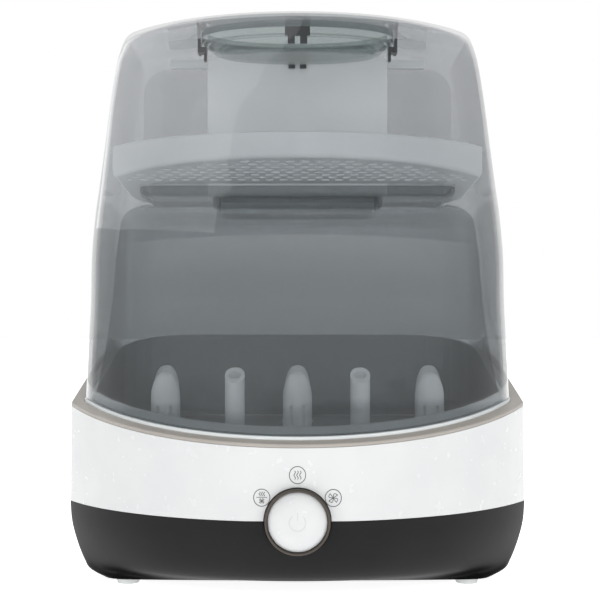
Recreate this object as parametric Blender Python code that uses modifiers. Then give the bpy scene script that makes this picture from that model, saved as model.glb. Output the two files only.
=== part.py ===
"""Countertop bottle sterilizer and dryer, modelled in metres with +Z up.

The origin is the centre of the footprint on the surface it stands on, and the front faces -Y.
Every piece is its own object. Pieces that move hang from an empty on their joint's axis.
"""

import math
from typing import NamedTuple

import bmesh
import bpy
from mathutils import Matrix, Vector


class Plan(NamedTuple):
    """A bowed-front outline seen from above, symmetric about the YZ plane."""

    half_width: float
    nose: float  # y at the middle of the bowed front
    corner: float  # y where the bowed front meets the straight side
    rear: float
    rear_radius: float
    corner_radius: float


# --- Housing -------------------------------------------------------------------------------------
GAP = 0.0003  # clearance between touching pieces
RIM_PLAN = Plan(0.1519, -0.135, -0.046, 0.135, 0.065, 0.010)
SPLIT_PLAN = Plan(0.1527, -0.1358, -0.046, 0.1358, 0.065, 0.010)
RIM_FRONT_HEIGHT = 0.0975
RIM_SLOPE = 0.22  # the top rim rises towards the rear
SPLIT_HEIGHT = 0.051
WALL = 0.003
FOOT_HEIGHT = 0.004
FLOOR_THICKNESS = 0.0025
# height and outline of the lower shell, from the flat bottom to the split
LOWER_LEVELS = (
    (FOOT_HEIGHT, Plan(0.1275, -0.0790, -0.0740, 0.114, 0.050, 0.018)),
    (0.0080, Plan(0.1395, -0.1000, -0.0560, 0.123, 0.057, 0.012)),
    (0.0126, Plan(0.1430, -0.1180, -0.0500, 0.127, 0.060, 0.012)),
    (0.0250, Plan(0.1483, -0.1305, -0.0470, 0.132, 0.063, 0.011)),
    (0.0400, Plan(0.1520, -0.1352, -0.0460, 0.135, 0.065, 0.010)),
    (SPLIT_HEIGHT - GAP / 2, SPLIT_PLAN),
)
FRONT_STEPS = 7
CORNER_STEPS = 3
REAR_STEPS = 5
SHARP_ANGLE = math.radians(35)
MERGE_DISTANCE = 0.00001
MARKER_SIZE = 0.02  # shown size of the joint markers
LEAST_CORNER = 0.002
CUT_DEPTH = 0.02  # how far a cutter reaches past a thin wall
BEYOND = 0.2  # the top of a cutter that leaves through an open top
SLOT_MARGIN = 0.001
REAR_WALL_Y = (0.120, 0.150)  # a span that holds the rear wall
ROUND_STEPS = 24
SMALL_STEPS = 20
HOLE_STEPS = 10

# --- Rim, well and boiler ------------------------------------------------------------------------
TRIM_WIDTH = 0.0084
TRIM_THICKNESS = 0.0020
LEDGE_WIDTH = 0.0130
LEDGE_THICKNESS = 0.0020
SEAT_HEIGHT = 0.0015  # the lid's seat above the rim plane
LIP_HEIGHT = 0.0060  # the lip inside the lid, above the rim plane
LIP_INSET = 0.0134
WELL_WALL = 0.0022
WELL_FLOOR = 0.0780
PLATE_Y = -0.010
PLATE_HOLE_RADIUS = 0.0525
ELEMENT_RADIUS = 0.030
ELEMENT_TUBE = 0.0035
TRIM_EDGE = 0.0006
PLATE_DEPTH = 0.0075
PLATE_THICKNESS = 0.0015
PLATE_RADII = (0.0400, 0.0500, 0.0560)  # the dish's floor, its shoulder and the flange
PLATE_UNDER_RADII = (0.0398, 0.0508)
PLATE_STEPS = 40
ELEMENT_START = math.radians(30)
ELEMENT_SWEEP = math.radians(300)
ELEMENT_STEPS = 18
TAIL_SPREAD = (1.15, 1.35)
TAIL_DROP = 0.010
THERMOSTAT_RADIUS = 0.0080
THERMOSTAT_HEIGHT = 0.0090

# --- Lid -----------------------------------------------------------------------------------------
LID_INSET = 0.0094
LID_WALL = 0.0026
# height, scale of the lid's outline and how far its bowed front leans back, from the skirt upwards
LID_LEVELS = (
    (0.1650, 0.984, 0.0000),
    (0.1850, 0.9775, 0.0000),
    (0.2120, 0.9745, 0.0005),
    (0.2430, 0.957, 0.0015),
    (0.2600, 0.941, 0.0025),
    (0.2900, 0.914, 0.0040),
    (0.3200, 0.888, 0.0055),
    (0.3470, 0.858, 0.0068),
    (0.3550, 0.843, 0.0074),
    (0.3628, 0.822, 0.0080),
    (0.3675, 0.790, 0.0084),
    (0.3700, 0.738, 0.0086),
    (0.3716, 0.640, 0.0070),
)
LID_HOLE_HEIGHT = 0.3730
CROWN_START = 0.3550
CROWN_TOP = 0.3700
GRIP_HALF_LENGTH = 0.0680
GRIP_HALF_WIDTH = 0.0400
GRIP_RIM_HEIGHT = 0.3754
GRIP_BAND_BOTTOM = 0.3664
BOWL_BOTTOM = 0.3565
OVAL_STEPS = 34  # as many points as a bowed-front outline has
# the grip's sections: how far in from its oval, and the height
BEZEL_SECTION = (
    (0.0005, GRIP_BAND_BOTTOM),
    (0.0005, GRIP_RIM_HEIGHT - 0.0008),
    (0.0011, GRIP_RIM_HEIGHT),
    (0.0035, GRIP_RIM_HEIGHT),
    (0.0045, GRIP_RIM_HEIGHT - 0.0012),
    (0.0045, GRIP_BAND_BOTTOM),
)
BOWL_TOP = GRIP_BAND_BOTTOM - GAP
BOWL_SECTION = (
    (0.0230, BOWL_BOTTOM),
    (0.0150, BOWL_BOTTOM + 0.0010),
    (0.0095, BOWL_BOTTOM + 0.0030),
    (0.0062, BOWL_BOTTOM + 0.0062),
    (0.0048, BOWL_TOP - 0.0015),
    (0.0020, BOWL_TOP - 0.0014),
    (0.0020, BOWL_TOP),
    (0.0064, BOWL_TOP),
    (0.0080, BOWL_BOTTOM + 0.0068),
    (0.0110, BOWL_BOTTOM + 0.0044),
    (0.0158, BOWL_BOTTOM + 0.0028),
    (0.0230, BOWL_BOTTOM + 0.0018),
)
STEAM_SLOT_PITCH = 0.0120
STEAM_SLOT_HALF = (0.0035, 0.0015)
STEAM_SLOT_Z = (0.34, 0.37)
CLIP_TOP = 0.3698
CLIP_MIDDLE = 0.3640
CLIP_TIP = 0.3585
CLIP_DEPTH = 0.0031
CLIP_HALF_WIDTH = 0.0085
CLIP_TOOTH_X = 0.0042
CLIP_TOOTH_HALF = 0.0024
SIDE_CLIP_REACH = (0.0040, 0.0022)  # inside and outside the grip's end
SIDE_CLIP_HALF = 0.0060
SIDE_CLIP_BOTTOM = 0.3600
CLIP_BLOCK_HALF = 0.0050
CLIP_BLOCK_Z = (0.3605, 0.3642)
CLIP_LEG_WIDTH = 0.0020
CLIP_LEG_HALF = 0.0030
CLIP_LEG_Z = (0.3548, 0.3615)

# --- Tray ----------------------------------------------------------------------------------------
TRAY_PLAN = Plan(0.1258, -0.1058, -0.0350, 0.1060, 0.055, 0.005)
TRAY_RIM = 0.2900
TRAY_FLOOR_FRONT = 0.2736  # underside of the floor at the front
TRAY_FLOOR_SLOPE = -0.0627
TRAY_WALL = 0.0022
TRAY_WELL_Y = (-0.0100, 0.0900)
TRAY_WELLS = ((0.1120, 0.2590, 0.2694), (0.0600, 0.2500, 0.2602))  # half-width, underside and top
DIVIDER_Y = 0.0450
DIVIDER_THICKNESS = 0.0030
DIVIDER_HALF_WIDTH = 0.0665
DIVIDER_TOP = 0.3665
WING_REACH = 0.1140
WING_TOP = 0.3650
RAIL_LENGTH = 0.0270
RAIL_HEIGHT = 0.0065
TRAY_EDGE = 0.0030
TRAY_CUT_TOP = 0.32
TRAY_HOLE_RADIUS = 0.0032
TRAY_HOLE_Z = (0.25, 0.285)
TRAY_HOLE_SIDES = 6
TRAY_HOLE_ROWS = 4
TRAY_HOLE_START_Y = -0.090
TRAY_HOLE_ROW_PITCH = 0.021
TRAY_HOLE_PITCH = 0.030
TRAY_FIRST_ROW = 4  # holes in the front row
STEP_CLEARANCE = 0.0010
DIVIDER_CHAMFER = 0.003
WING_DROP = 0.0070
WING_CURL = 0.0180
WING_STEPS = 5
WING_GAP = 0.0006
WING_THICKNESS = 0.0020
RAIL_HALF_DEPTH = 0.0030

# --- Rack ----------------------------------------------------------------------------------------
RACK_INSET = 0.0210
RACK_TOP = 0.0955
RACK_BOTTOM = 0.0824
RACK_WALL = 0.0022
PEG_ROWS = ((0.0860, -0.0700), (0.0980, 0.0500))  # each row's spacing and y
PEG_RADIUS = 0.0095
PEG_TOP = 0.1380
POST_X = 0.0397
POST_Y = -0.0930
POST_RADIUS = 0.0063
POST_TOP = 0.1420
SCREEN_WALL = 0.0020
SCREEN_CLEARANCE = 0.0013
SCREEN_FOOT_INSET = 0.0162
SCREEN_SHELF = 0.0075  # how far the shelf that the tray rests on stands in
# the screen's free edge as y and z, from the deck up to its shoulder
SCREEN_EDGE = (
    (-0.0560, 0.1150),
    (-0.0450, 0.1210),
    (-0.0140, 0.1390),
    (0.0080, 0.1590),
    (0.0250, 0.1790),
    (0.0360, 0.1980),
    (0.0450, 0.2250),
    (0.0500, 0.2420),
    (0.0580, 0.2540),
    (0.0700, 0.2620),
)
SCREEN_LIFT = (0.0010, 0.0050)  # two low rings above the lip
SWEEP_FRONT = -0.20
SWEEP_STEP = (-0.070, 0.1060)
SWEEP_BOTTOM = 0.05
SWEEP_TOP = 0.30
SWEEP_WIDTH = 0.40
RACK_EDGE = 0.001
RACK_HOLE_RADIUS = 0.0045
RACK_HOLE_Z = (0.08, 0.11)
RACK_HOLE_SIDES = 8
RACK_HOLES = 5  # in a row, and rows
RACK_HOLE_START_Y = -0.085
RACK_HOLE_PITCH = (0.043, 0.0375)
RACK_HOLE_CLEAR = 0.0155
# the peg's nose, as radius and depth below its top, and its foot, as radius and height
PEG_NOSE = ((0.0040, 0.0010), (PEG_RADIUS - 0.0012, 0.0085), (PEG_RADIUS, 0.0120))
PEG_FOOT = ((PEG_RADIUS, 0.0020), (PEG_RADIUS + 0.0025, 0.0015), (PEG_RADIUS + 0.0025, 0))
PEG_STEPS = 16
PEG_SLOT_LOW = (0.0030, -0.0200, 0.0080)
PEG_SLOT_HIGH = (0.0050, -0.0050, 0.0210)
POST_SLANT_DROP = 0.0095
POST_SLANT = math.radians(37)
POST_HOLE_RADIUS = 0.0015
POST_HOLE_HALF = 0.006
POST_HOLE_SIDES = 8
POST_HOLE_DROPS = (0.0110, 0.0050)
POST_HOLE_SHIFT = 0.003

# --- Dial ----------------------------------------------------------------------------------------
DIAL_HEIGHT = SPLIT_HEIGHT
DIAL_Y = -0.1300
DIAL_RADIUS = 0.0200
DIAL_FRONT = 0.0085
CAP_RADIUS = 0.0180
CAP_CROWN = 0.0095
CAP_UNDERSIDE = 0.0038
BORE_RADIUS = 0.0206
DISH_DEPTH = 0.0026
DISH_SEMI_AXES = (0.400, 0.050, 0.100)
SPRING_RADIUS = 0.0040
SPRING_WIRE = 0.0004
SPRING_TURNS = 4
DISH_STEPS = (32, 24)
BORE_STEPS = 32
DIAL_FLOOR = -0.0020
DIAL_BACK = -0.0040
BEZEL_DROP = 0.0004
BEZEL_BEVEL = 0.0005
DIAL_BEVEL = (0.0007, 0.0010)
SHAFT_RADIUS = 0.0030
SHAFT_LENGTH = 0.0115
SHAFT_STEPS = 16
CAP_DOME = 0.0030
CAP_SHARES = (0, 0.35, 0.6, 0.8, 0.92, 1.0)
SPRING_STEPS = 8  # in a turn
BOARD_FRONT = -0.1070
BOARD_HALF_WIDTH = 0.0450
BOARD_THICKNESS = 0.0016
BOARD_Z = (0.0240, 0.0730)
ENCODER_HALF = 0.0060
ENCODER_DEPTH = 0.0062

# --- Air system ----------------------------------------------------------------------------------
FAN_X = 0.040
FAN_Y = 0.062
FAN_RADIUS = 0.0400
FAN_BOTTOM = 0.0140
FAN_TOP = 0.0465
FAN_WALL = 0.0020
BLADES = 12
BLADE_TIP = 0.0340
BLADE_ROOT = 0.0170
OUTLET_Y = (0.0800, 0.1020)
DUCT_X = (-0.0480, -0.0100)
DRAWER_X = (0.0010, 0.0790)
DRAWER_Z = (0.0550, 0.0740)
DRAWER_INNER_END = 0.0350
DRAWER_FRONT = 0.1395
INLET_X = -0.050
INLET_Z = 0.0645
FAN_STEPS = 32
INTAKE_RADIUS = 0.0220
MOTOR_HOLE_RADIUS = 0.0130
MOTOR_RADIUS = 0.0120
MOTOR_TOP = 0.0285
BLADE_ANGLES = (0.30, 0.36, 0.14)  # the tip's two corners and the root's trailing one
BLADE_HEIGHT = 0.0120
BLADE_MIDDLE = 0.0375
DISC_MARGIN = 0.001
DISC_Z = (0.0290, 0.0320)
DISC_STEPS = 36
GRILLE_INSET = 0.0005
GRILLE_THICKNESS = 0.0016
GRILLE_SLOTS = 5
GRILLE_START = 0.006
GRILLE_PITCH = 0.0062
GRILLE_SLOT_WIDTH = 0.003
GRILLE_SLOT_MARGIN = 0.004
DRAWER_FLOOR = 0.002
DRAWER_ROOM_END = 0.1290
DRAWER_WINDOW_MARGIN = 0.010
DRAWER_WINDOW_END = 0.0850
DRAWER_SLOTS = 6
DRAWER_SLOT_START = 0.0110
DRAWER_SLOT_PITCH = 0.0105
DRAWER_SLOT_WIDTH = 0.004
DRAWER_SLOT_MARGIN = 0.004
FILTER_END = 0.1240
FILTER_TOP = 0.012
GUIDE_GAP = 0.0010
GUIDE_THICKNESS = 0.0030
GUIDE_LIP = 0.0050
GUIDE_LIP_GAP = 0.0008
GUIDE_Y = (0.0400, 0.1250)
INLET_HALF = (0.0120, 0.0085)
INLET_FRONT = 0.1120
INLET_PROUD = 0.0020
INLET_SLOT_HALF = (0.0125, 0.0090)
FLANGE_HALF = (0.0155, 0.0115)
FLANGE_Y = (0.0009, 0.0030)  # behind the housing's rear
SOCKET_HALF = (0.0090, 0.0055)
PIN_RADIUS = 0.0012
PIN_X = 0.0045
PIN_ENDS = (-0.0155, 0.0020)

# --- Feet and service cover ----------------------------------------------------------------------
FOOT_RADIUS = 0.0080
FOOT_PLACES = ((-0.111, -0.064), (0.111, -0.064), (-0.100, 0.085), (0.100, 0.085))
COVER_HALF_WIDTH = 0.0700
COVER_Y = (-0.0550, 0.0400)
HATCH_MARGIN = 0.0100
SCREW_MARGIN = 0.0050
FOOT_TAPER = 0.001
COVER_THICKNESS = 0.0018
COVER_SLOT_X = 0.025
COVER_SLOT_HALF = 0.012
COVER_SLOT_Y = (-0.020, -0.017)
SCREW_HOLE_RADIUS = 0.0018
SCREW_LENGTH = 0.0070
SCREW_RADIUS = 0.0014
SCREW_POINT = 0.001
SCREW_HEAD_RADII = (0.0032, 0.0028)
SCREW_HEAD_HEIGHT = 0.0011
SCREW_STEPS = 12

# colour, roughness, metallic
WHITE_ABS = ((0.87, 0.88, 0.89), 0.30, 0.0)
BLACK_ABS = ((0.035, 0.035, 0.038), 0.38, 0.0)
WARM_GREY_ABS = ((0.33, 0.31, 0.29), 0.40, 0.0)
SMOKE_CLEAR = ((0.30, 0.33, 0.34), 0.08, 0.0)
DARK_SMOKE = ((0.12, 0.13, 0.14), 0.12, 0.0)
PALE_PP = ((0.72, 0.74, 0.75), 0.45, 0.0)
DARK_PP = ((0.10, 0.11, 0.12), 0.50, 0.0)
BRONZE = ((0.25, 0.21, 0.18), 0.35, 0.8)
STEEL = ((0.60, 0.60, 0.60), 0.30, 1.0)
RUBBER = ((0.55, 0.55, 0.54), 0.80, 0.0)
BOARD_GREEN = ((0.03, 0.16, 0.07), 0.50, 0.0)
FILTER_FELT = ((0.80, 0.80, 0.78), 0.95, 0.0)


def clear_scene():
    for old in list(bpy.data.objects):
        bpy.data.objects.remove(old, do_unlink=True)


def new_collection(name):
    collection = bpy.data.collections.new(name)
    bpy.context.scene.collection.children.link(collection)
    return collection


clear_scene()
PARTS = new_collection("bottle_sterilizer")
CUTTERS = new_collection("cutters")


# --- General helpers -----------------------------------------------------------------------------
def add_empty(name, place):
    """A pivot on a joint's axis, which the joint's pieces hang from."""
    pivot = bpy.data.objects.new(name, None)
    pivot.empty_display_size = MARKER_SIZE
    pivot.location = place
    PARTS.objects.link(pivot)
    return pivot


def give_material(part, finish):
    colour, roughness, metallic = finish
    material = bpy.data.materials.new(f"{part.name}_material")
    material.use_nodes = True
    shader = material.node_tree.nodes["Principled BSDF"]
    shader.inputs["Base Color"].default_value = (*colour, 1)
    shader.inputs["Roughness"].default_value = roughness
    shader.inputs["Metallic"].default_value = metallic
    part.data.materials.append(material)


def as_mesh(bm, name):
    bmesh.ops.recalc_face_normals(bm, faces=bm.faces)
    mesh = bpy.data.meshes.new(name)
    bm.to_mesh(mesh)
    bm.free()
    return mesh


def add_part(name, mesh, finish, place=(0, 0, 0), turn=(0, 0, 0), pivot=None):
    """Links a piece, with its place given in the world even when it hangs from a pivot."""
    part = bpy.data.objects.new(name, mesh)
    PARTS.objects.link(part)
    if pivot:
        part.parent = pivot
        part.location = Vector(place) - pivot.location
    else:
        part.location = place
    part.rotation_euler = turn
    mesh.shade_smooth()
    mesh.set_sharp_from_angle(angle=SHARP_ANGLE)
    give_material(part, finish)
    return part


def add_cutter(name, mesh, place=(0, 0, 0), turn=(0, 0, 0)):
    cutter = bpy.data.objects.new(name, mesh)
    CUTTERS.objects.link(cutter)
    cutter.location = place
    cutter.rotation_euler = turn
    cutter.hide_render = True
    cutter.display_type = "WIRE"
    return cutter


def combine(part, tool, operation):
    """Cuts the part with the tool (DIFFERENCE) or joins it on (UNION)."""
    modifier = part.modifiers.new(f"{operation.title()} {tool.name}", "BOOLEAN")
    modifier.operation = operation
    modifier.object = tool


def cut(part, name, mesh, **where):
    combine(part, add_cutter(name, mesh, **where), "DIFFERENCE")


def join(part, name, mesh, **where):
    combine(part, add_cutter(name, mesh, **where), "UNION")


def box_mesh(name, low, high):
    """A box between two corners."""
    low, high = Vector(low), Vector(high)
    bm = bmesh.new()
    bmesh.ops.create_cube(bm, size=1)
    bmesh.ops.scale(bm, vec=high - low, verts=bm.verts)
    bmesh.ops.translate(bm, vec=(low + high) / 2, verts=bm.verts)
    return as_mesh(bm, name)


def add_cylinder(bm, radius, low, high, place=(0, 0), segments=ROUND_STEPS):
    """An upright cylinder between two heights."""
    middle = Matrix.Translation((place[0], place[1], (low + high) / 2))
    bmesh.ops.create_cone(
        bm,
        cap_ends=True,
        segments=segments,
        radius1=radius,
        radius2=radius,
        depth=high - low,
        matrix=middle,
    )


def cylinder_mesh(name, radius, low, high, segments=ROUND_STEPS):
    bm = bmesh.new()
    add_cylinder(bm, radius, low, high, segments=segments)
    return as_mesh(bm, name)


def drill_mesh(name, radius, low, high, places, segments=HOLE_STEPS):
    """Separate upright cylinders, for cutting a pattern of holes."""
    bm = bmesh.new()
    for place in places:
        add_cylinder(bm, radius, low, high, place, segments)
    return as_mesh(bm, name)


def turned_mesh(name, profile):
    """Points (radius, height) down the outer side, for a Screw modifier to turn."""
    mesh = bpy.data.meshes.new(name)
    points = [(radius, 0, height) for radius, height in profile]
    edges = [(i, i + 1) for i in range(len(points) - 1)]
    mesh.from_pydata(points, edges, [])
    return mesh


def turn_profile(part, steps=ROUND_STEPS):
    screw = part.modifiers.new("Screw", "SCREW")
    screw.steps = steps
    screw.render_steps = steps
    screw.use_merge_vertices = True
    screw.merge_threshold = MERGE_DISTANCE
    screw.use_smooth_shade = True


def add_turned(name, profile, finish, steps=ROUND_STEPS, **where):
    part = add_part(name, turned_mesh(name, profile), finish, **where)
    turn_profile(part, steps)
    return part


def outline_mesh(name, points, thickness):
    """A flat outline in the XY plane, filled and given a thickness about z = 0."""
    curve = bpy.data.curves.new(name, "CURVE")
    curve.dimensions = "2D"
    curve.fill_mode = "BOTH"
    curve.extrude = thickness / 2
    spline = curve.splines.new("POLY")
    spline.points.add(len(points) - 1)
    for target, (x, y) in zip(spline.points, points):
        target.co = (x, y, 0, 1)
    spline.use_cyclic_u = True
    return curve_mesh(name, curve)


def tube_mesh(name, points, radius, resolution=2):
    """A round wire or tube through the points, closed at both ends."""
    curve = bpy.data.curves.new(name, "CURVE")
    curve.dimensions = "3D"
    curve.bevel_depth = radius
    curve.bevel_resolution = resolution
    curve.use_fill_caps = True
    spline = curve.splines.new("POLY")
    spline.points.add(len(points) - 1)
    for target, point in zip(spline.points, points):
        target.co = (*point, 1)
    return curve_mesh(name, curve)


def curve_mesh(name, curve):
    """The curve as a mesh with its caps welded on."""
    holder = bpy.data.objects.new(name, curve)
    CUTTERS.objects.link(holder)
    depsgraph = bpy.context.evaluated_depsgraph_get()
    mesh = bpy.data.meshes.new_from_object(holder.evaluated_get(depsgraph))
    bpy.data.objects.remove(holder, do_unlink=True)
    bpy.data.curves.remove(curve)
    bm = bmesh.new()
    bm.from_mesh(mesh)
    bmesh.ops.remove_doubles(bm, verts=bm.verts, dist=MERGE_DISTANCE)
    bpy.data.meshes.remove(mesh)
    return as_mesh(bm, name)


# --- Lofted outlines -----------------------------------------------------------------------------
def rim_plane(offset):
    """Height over the tilted rim plane, as a function of y."""
    return lambda y: RIM_FRONT_HEIGHT + RIM_SLOPE * (y - RIM_PLAN.nose) + offset


def level(height):
    return lambda y: height


def bow(plan):
    """Radius of the bowed front, and the y of its centre."""
    rise = plan.corner - plan.nose
    radius = (plan.half_width**2 + rise**2) / (2 * rise)
    return radius, plan.nose + radius


def inset(plan, distance):
    """The outline moved inwards by the same distance all round."""
    radius, centre_y = bow(plan)
    half_width = plan.half_width - distance
    return Plan(
        half_width,
        plan.nose + distance,
        centre_y - math.sqrt((radius - distance) ** 2 - half_width**2),
        plan.rear - distance,
        plan.rear_radius - distance,
        max(plan.corner_radius - distance / 2, LEAST_CORNER),
    )


def scaled(plan, factor):
    return Plan(*(value * factor for value in plan))


def right_half(plan):
    """Outline points from the middle of the front, round the right side, to the middle of the rear."""
    radius, centre_y = bow(plan)
    end = math.asin(plan.half_width / radius)
    tangent = plan.corner_radius * math.tan((math.pi / 2 - end) / 2)
    stop = end - tangent / radius
    angles = [stop * step / FRONT_STEPS for step in range(FRONT_STEPS + 1)]
    points = [Vector((radius * math.sin(a), centre_y - radius * math.cos(a))) for a in angles]
    start, corner = points[-1], Vector((plan.half_width, plan.corner))
    finish = corner + Vector((0, tangent))
    for step in range(1, CORNER_STEPS + 1):
        share = step / CORNER_STEPS
        points.append(start.lerp(corner, share).lerp(corner.lerp(finish, share), share))
    middle = Vector((plan.half_width - plan.rear_radius, plan.rear - plan.rear_radius))
    for step in range(REAR_STEPS + 1):
        angle = math.pi / 2 * step / REAR_STEPS
        points.append(middle + plan.rear_radius * Vector((math.cos(angle), math.sin(angle))))
    points.append(Vector((0, plan.rear)))
    return points


def ring(plan, height):
    """The whole outline, anticlockwise from above, at the heights that height(y) gives."""
    right = right_half(plan)
    left = [Vector((-point.x, point.y)) for point in reversed(right[1:-1])]
    return [Vector((point.x, point.y, height(point.y))) for point in right + left]


def oval(half_length, half_width, height):
    """An oval ring that starts at the middle of the front, as the outlines do."""
    turns = [2 * math.pi * step / OVAL_STEPS - math.pi / 2 for step in range(OVAL_STEPS)]
    return [Vector((half_length * math.cos(t), half_width * math.sin(t), height)) for t in turns]


def loft_mesh(name, rings, hoop=False):
    """Skins rings of equal length. A hoop joins the last ring to the first, else the ends are capped."""
    bm = bmesh.new()
    loops = [[bm.verts.new(point) for point in points] for points in rings]
    pairs = list(zip(loops, loops[1:]))
    if hoop:
        pairs.append((loops[-1], loops[0]))
    else:
        bm.faces.new(loops[0])
        bm.faces.new(loops[-1])
    for below, above in pairs:
        count = len(below)
        for i in range(count):
            j = (i + 1) % count
            bm.faces.new((below[i], below[j], above[j], above[i]))
    return as_mesh(bm, name)


def shell_rings(levels, wall, floor):
    """Rings of an open-topped shell: up its outside, then down its inside to the floor."""
    outside = [ring(plan, level(height)) for height, plan in levels]
    inside = [ring(inset(plan, wall), level(height)) for height, plan in levels[:1:-1]]
    floor_ring = ring(inset(levels[0][1], wall), level(floor))
    return outside + inside + [floor_ring]


# --- Housing -------------------------------------------------------------------------------------
def cut_dial_recess(shell):
    """The shallow dish that the dial sits in, and the dial's bore."""
    bm = bmesh.new()
    bmesh.ops.create_uvsphere(bm, u_segments=DISH_STEPS[0], v_segments=DISH_STEPS[1], radius=1)
    bmesh.ops.scale(bm, vec=DISH_SEMI_AXES, verts=bm.verts)
    tip = SPLIT_PLAN.nose + DISH_DEPTH
    dish_centre = (0, tip - DISH_SEMI_AXES[1], DIAL_HEIGHT)
    cut(shell, f"{shell.name}_dish", as_mesh(bm, "dish"), place=dish_centre)
    bore = cylinder_mesh("bore", BORE_RADIUS, -CUT_DEPTH, CUT_DEPTH, segments=BORE_STEPS)
    bore_place = (0, SPLIT_PLAN.nose, DIAL_HEIGHT)
    cut(shell, f"{shell.name}_bore", bore, place=bore_place, turn=(math.pi / 2, 0, 0))


def cover_screw_places():
    x = COVER_HALF_WIDTH - SCREW_MARGIN
    ys = (COVER_Y[0] + SCREW_MARGIN, COVER_Y[1] - SCREW_MARGIN)
    return [(side * x, y) for side in (-1, 1) for y in ys]


def build_lower_shell():
    floor = FOOT_HEIGHT + FLOOR_THICKNESS
    mesh = loft_mesh("lower_shell", shell_rings(LOWER_LEVELS, WALL, floor))
    shell = add_part("lower_shell", mesh, BLACK_ABS)
    cut_dial_recess(shell)
    half = COVER_HALF_WIDTH - HATCH_MARGIN
    low = (-half, COVER_Y[0] + HATCH_MARGIN, 0)
    high = (half, COVER_Y[1] - HATCH_MARGIN, floor + WALL)
    cut(shell, "service_hatch", box_mesh("service_hatch", low, high))
    holes = drill_mesh("holes", SCREW_HOLE_RADIUS, 0, CUT_DEPTH, cover_screw_places())
    cut(shell, "shell_screw_holes", holes)


def build_upper_shell():
    bottom = level(SPLIT_HEIGHT + GAP / 2)
    top = rim_plane(-TRIM_THICKNESS - GAP)
    ledge_under = rim_plane(-TRIM_THICKNESS - GAP - LEDGE_THICKNESS)
    rings = [
        ring(SPLIT_PLAN, bottom),
        ring(RIM_PLAN, top),
        ring(inset(RIM_PLAN, LEDGE_WIDTH), top),
        ring(inset(RIM_PLAN, LEDGE_WIDTH), ledge_under),
        ring(inset(RIM_PLAN, WALL), ledge_under),
        ring(inset(SPLIT_PLAN, WALL), bottom),
    ]
    shell = add_part("upper_shell", loft_mesh("upper_shell", rings, hoop=True), WHITE_ABS)
    cut_dial_recess(shell)
    low = (DRAWER_X[0] - SLOT_MARGIN, REAR_WALL_Y[0], DRAWER_Z[0] - SLOT_MARGIN)
    high = (DRAWER_X[1] + SLOT_MARGIN, REAR_WALL_Y[1], DRAWER_Z[1] + SLOT_MARGIN)
    cut(shell, "drawer_slot", box_mesh("drawer_slot", low, high))
    low = (INLET_X - INLET_SLOT_HALF[0], REAR_WALL_Y[0], INLET_Z - INLET_SLOT_HALF[1])
    high = (INLET_X + INLET_SLOT_HALF[0], REAR_WALL_Y[1], INLET_Z + INLET_SLOT_HALF[1])
    cut(shell, "inlet_slot", box_mesh("inlet_slot", low, high))


def build_trim_ring():
    rings = [
        ring(RIM_PLAN, rim_plane(-TRIM_THICKNESS)),
        ring(RIM_PLAN, rim_plane(-TRIM_EDGE)),
        ring(inset(RIM_PLAN, TRIM_EDGE), rim_plane(0)),
        ring(inset(RIM_PLAN, TRIM_WIDTH), rim_plane(0)),
        ring(inset(RIM_PLAN, TRIM_WIDTH), rim_plane(-TRIM_THICKNESS)),
    ]
    add_part("trim_ring", loft_mesh("trim_ring", rings, hoop=True), WARM_GREY_ABS)


def build_feet():
    for number, (x, y) in enumerate(FOOT_PLACES, 1):
        top = FOOT_HEIGHT - GAP
        profile = [(0, top), (FOOT_RADIUS, top), (FOOT_RADIUS - FOOT_TAPER, 0), (0, 0)]
        add_turned(f"foot_{number}", profile, RUBBER, steps=SMALL_STEPS, place=(x, y, 0))


def build_service_cover():
    top = FOOT_HEIGHT - GAP
    bottom = top - COVER_THICKNESS
    low = (-COVER_HALF_WIDTH, COVER_Y[0], bottom)
    high = (COVER_HALF_WIDTH, COVER_Y[1], top)
    cover = add_part("bottom_cover", box_mesh("bottom_cover", low, high), BLACK_ABS)
    for side in (-1, 1):
        x = side * COVER_SLOT_X
        low = (x - COVER_SLOT_HALF, COVER_SLOT_Y[0], 0)
        high = (x + COVER_SLOT_HALF, COVER_SLOT_Y[1], CUT_DEPTH)
        cut(cover, f"cover_slot_{side + 2}", box_mesh("slot", low, high))
    holes = drill_mesh("holes", SCREW_HOLE_RADIUS, 0, CUT_DEPTH, cover_screw_places())
    cut(cover, "cover_screw_holes", holes)
    for number, (x, y) in enumerate(cover_screw_places(), 1):
        tip = FOOT_HEIGHT + SCREW_LENGTH
        head = bottom - SCREW_HEAD_HEIGHT
        profile = [(0, tip), (SCREW_RADIUS, tip - SCREW_POINT), (SCREW_RADIUS, bottom - GAP)]
        profile += [(SCREW_HEAD_RADII[0], bottom - GAP), (SCREW_HEAD_RADII[1], head), (0, head)]
        add_turned(f"cover_screw_{number}", profile, STEEL, steps=SCREW_STEPS, place=(x, y, 0))


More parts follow.
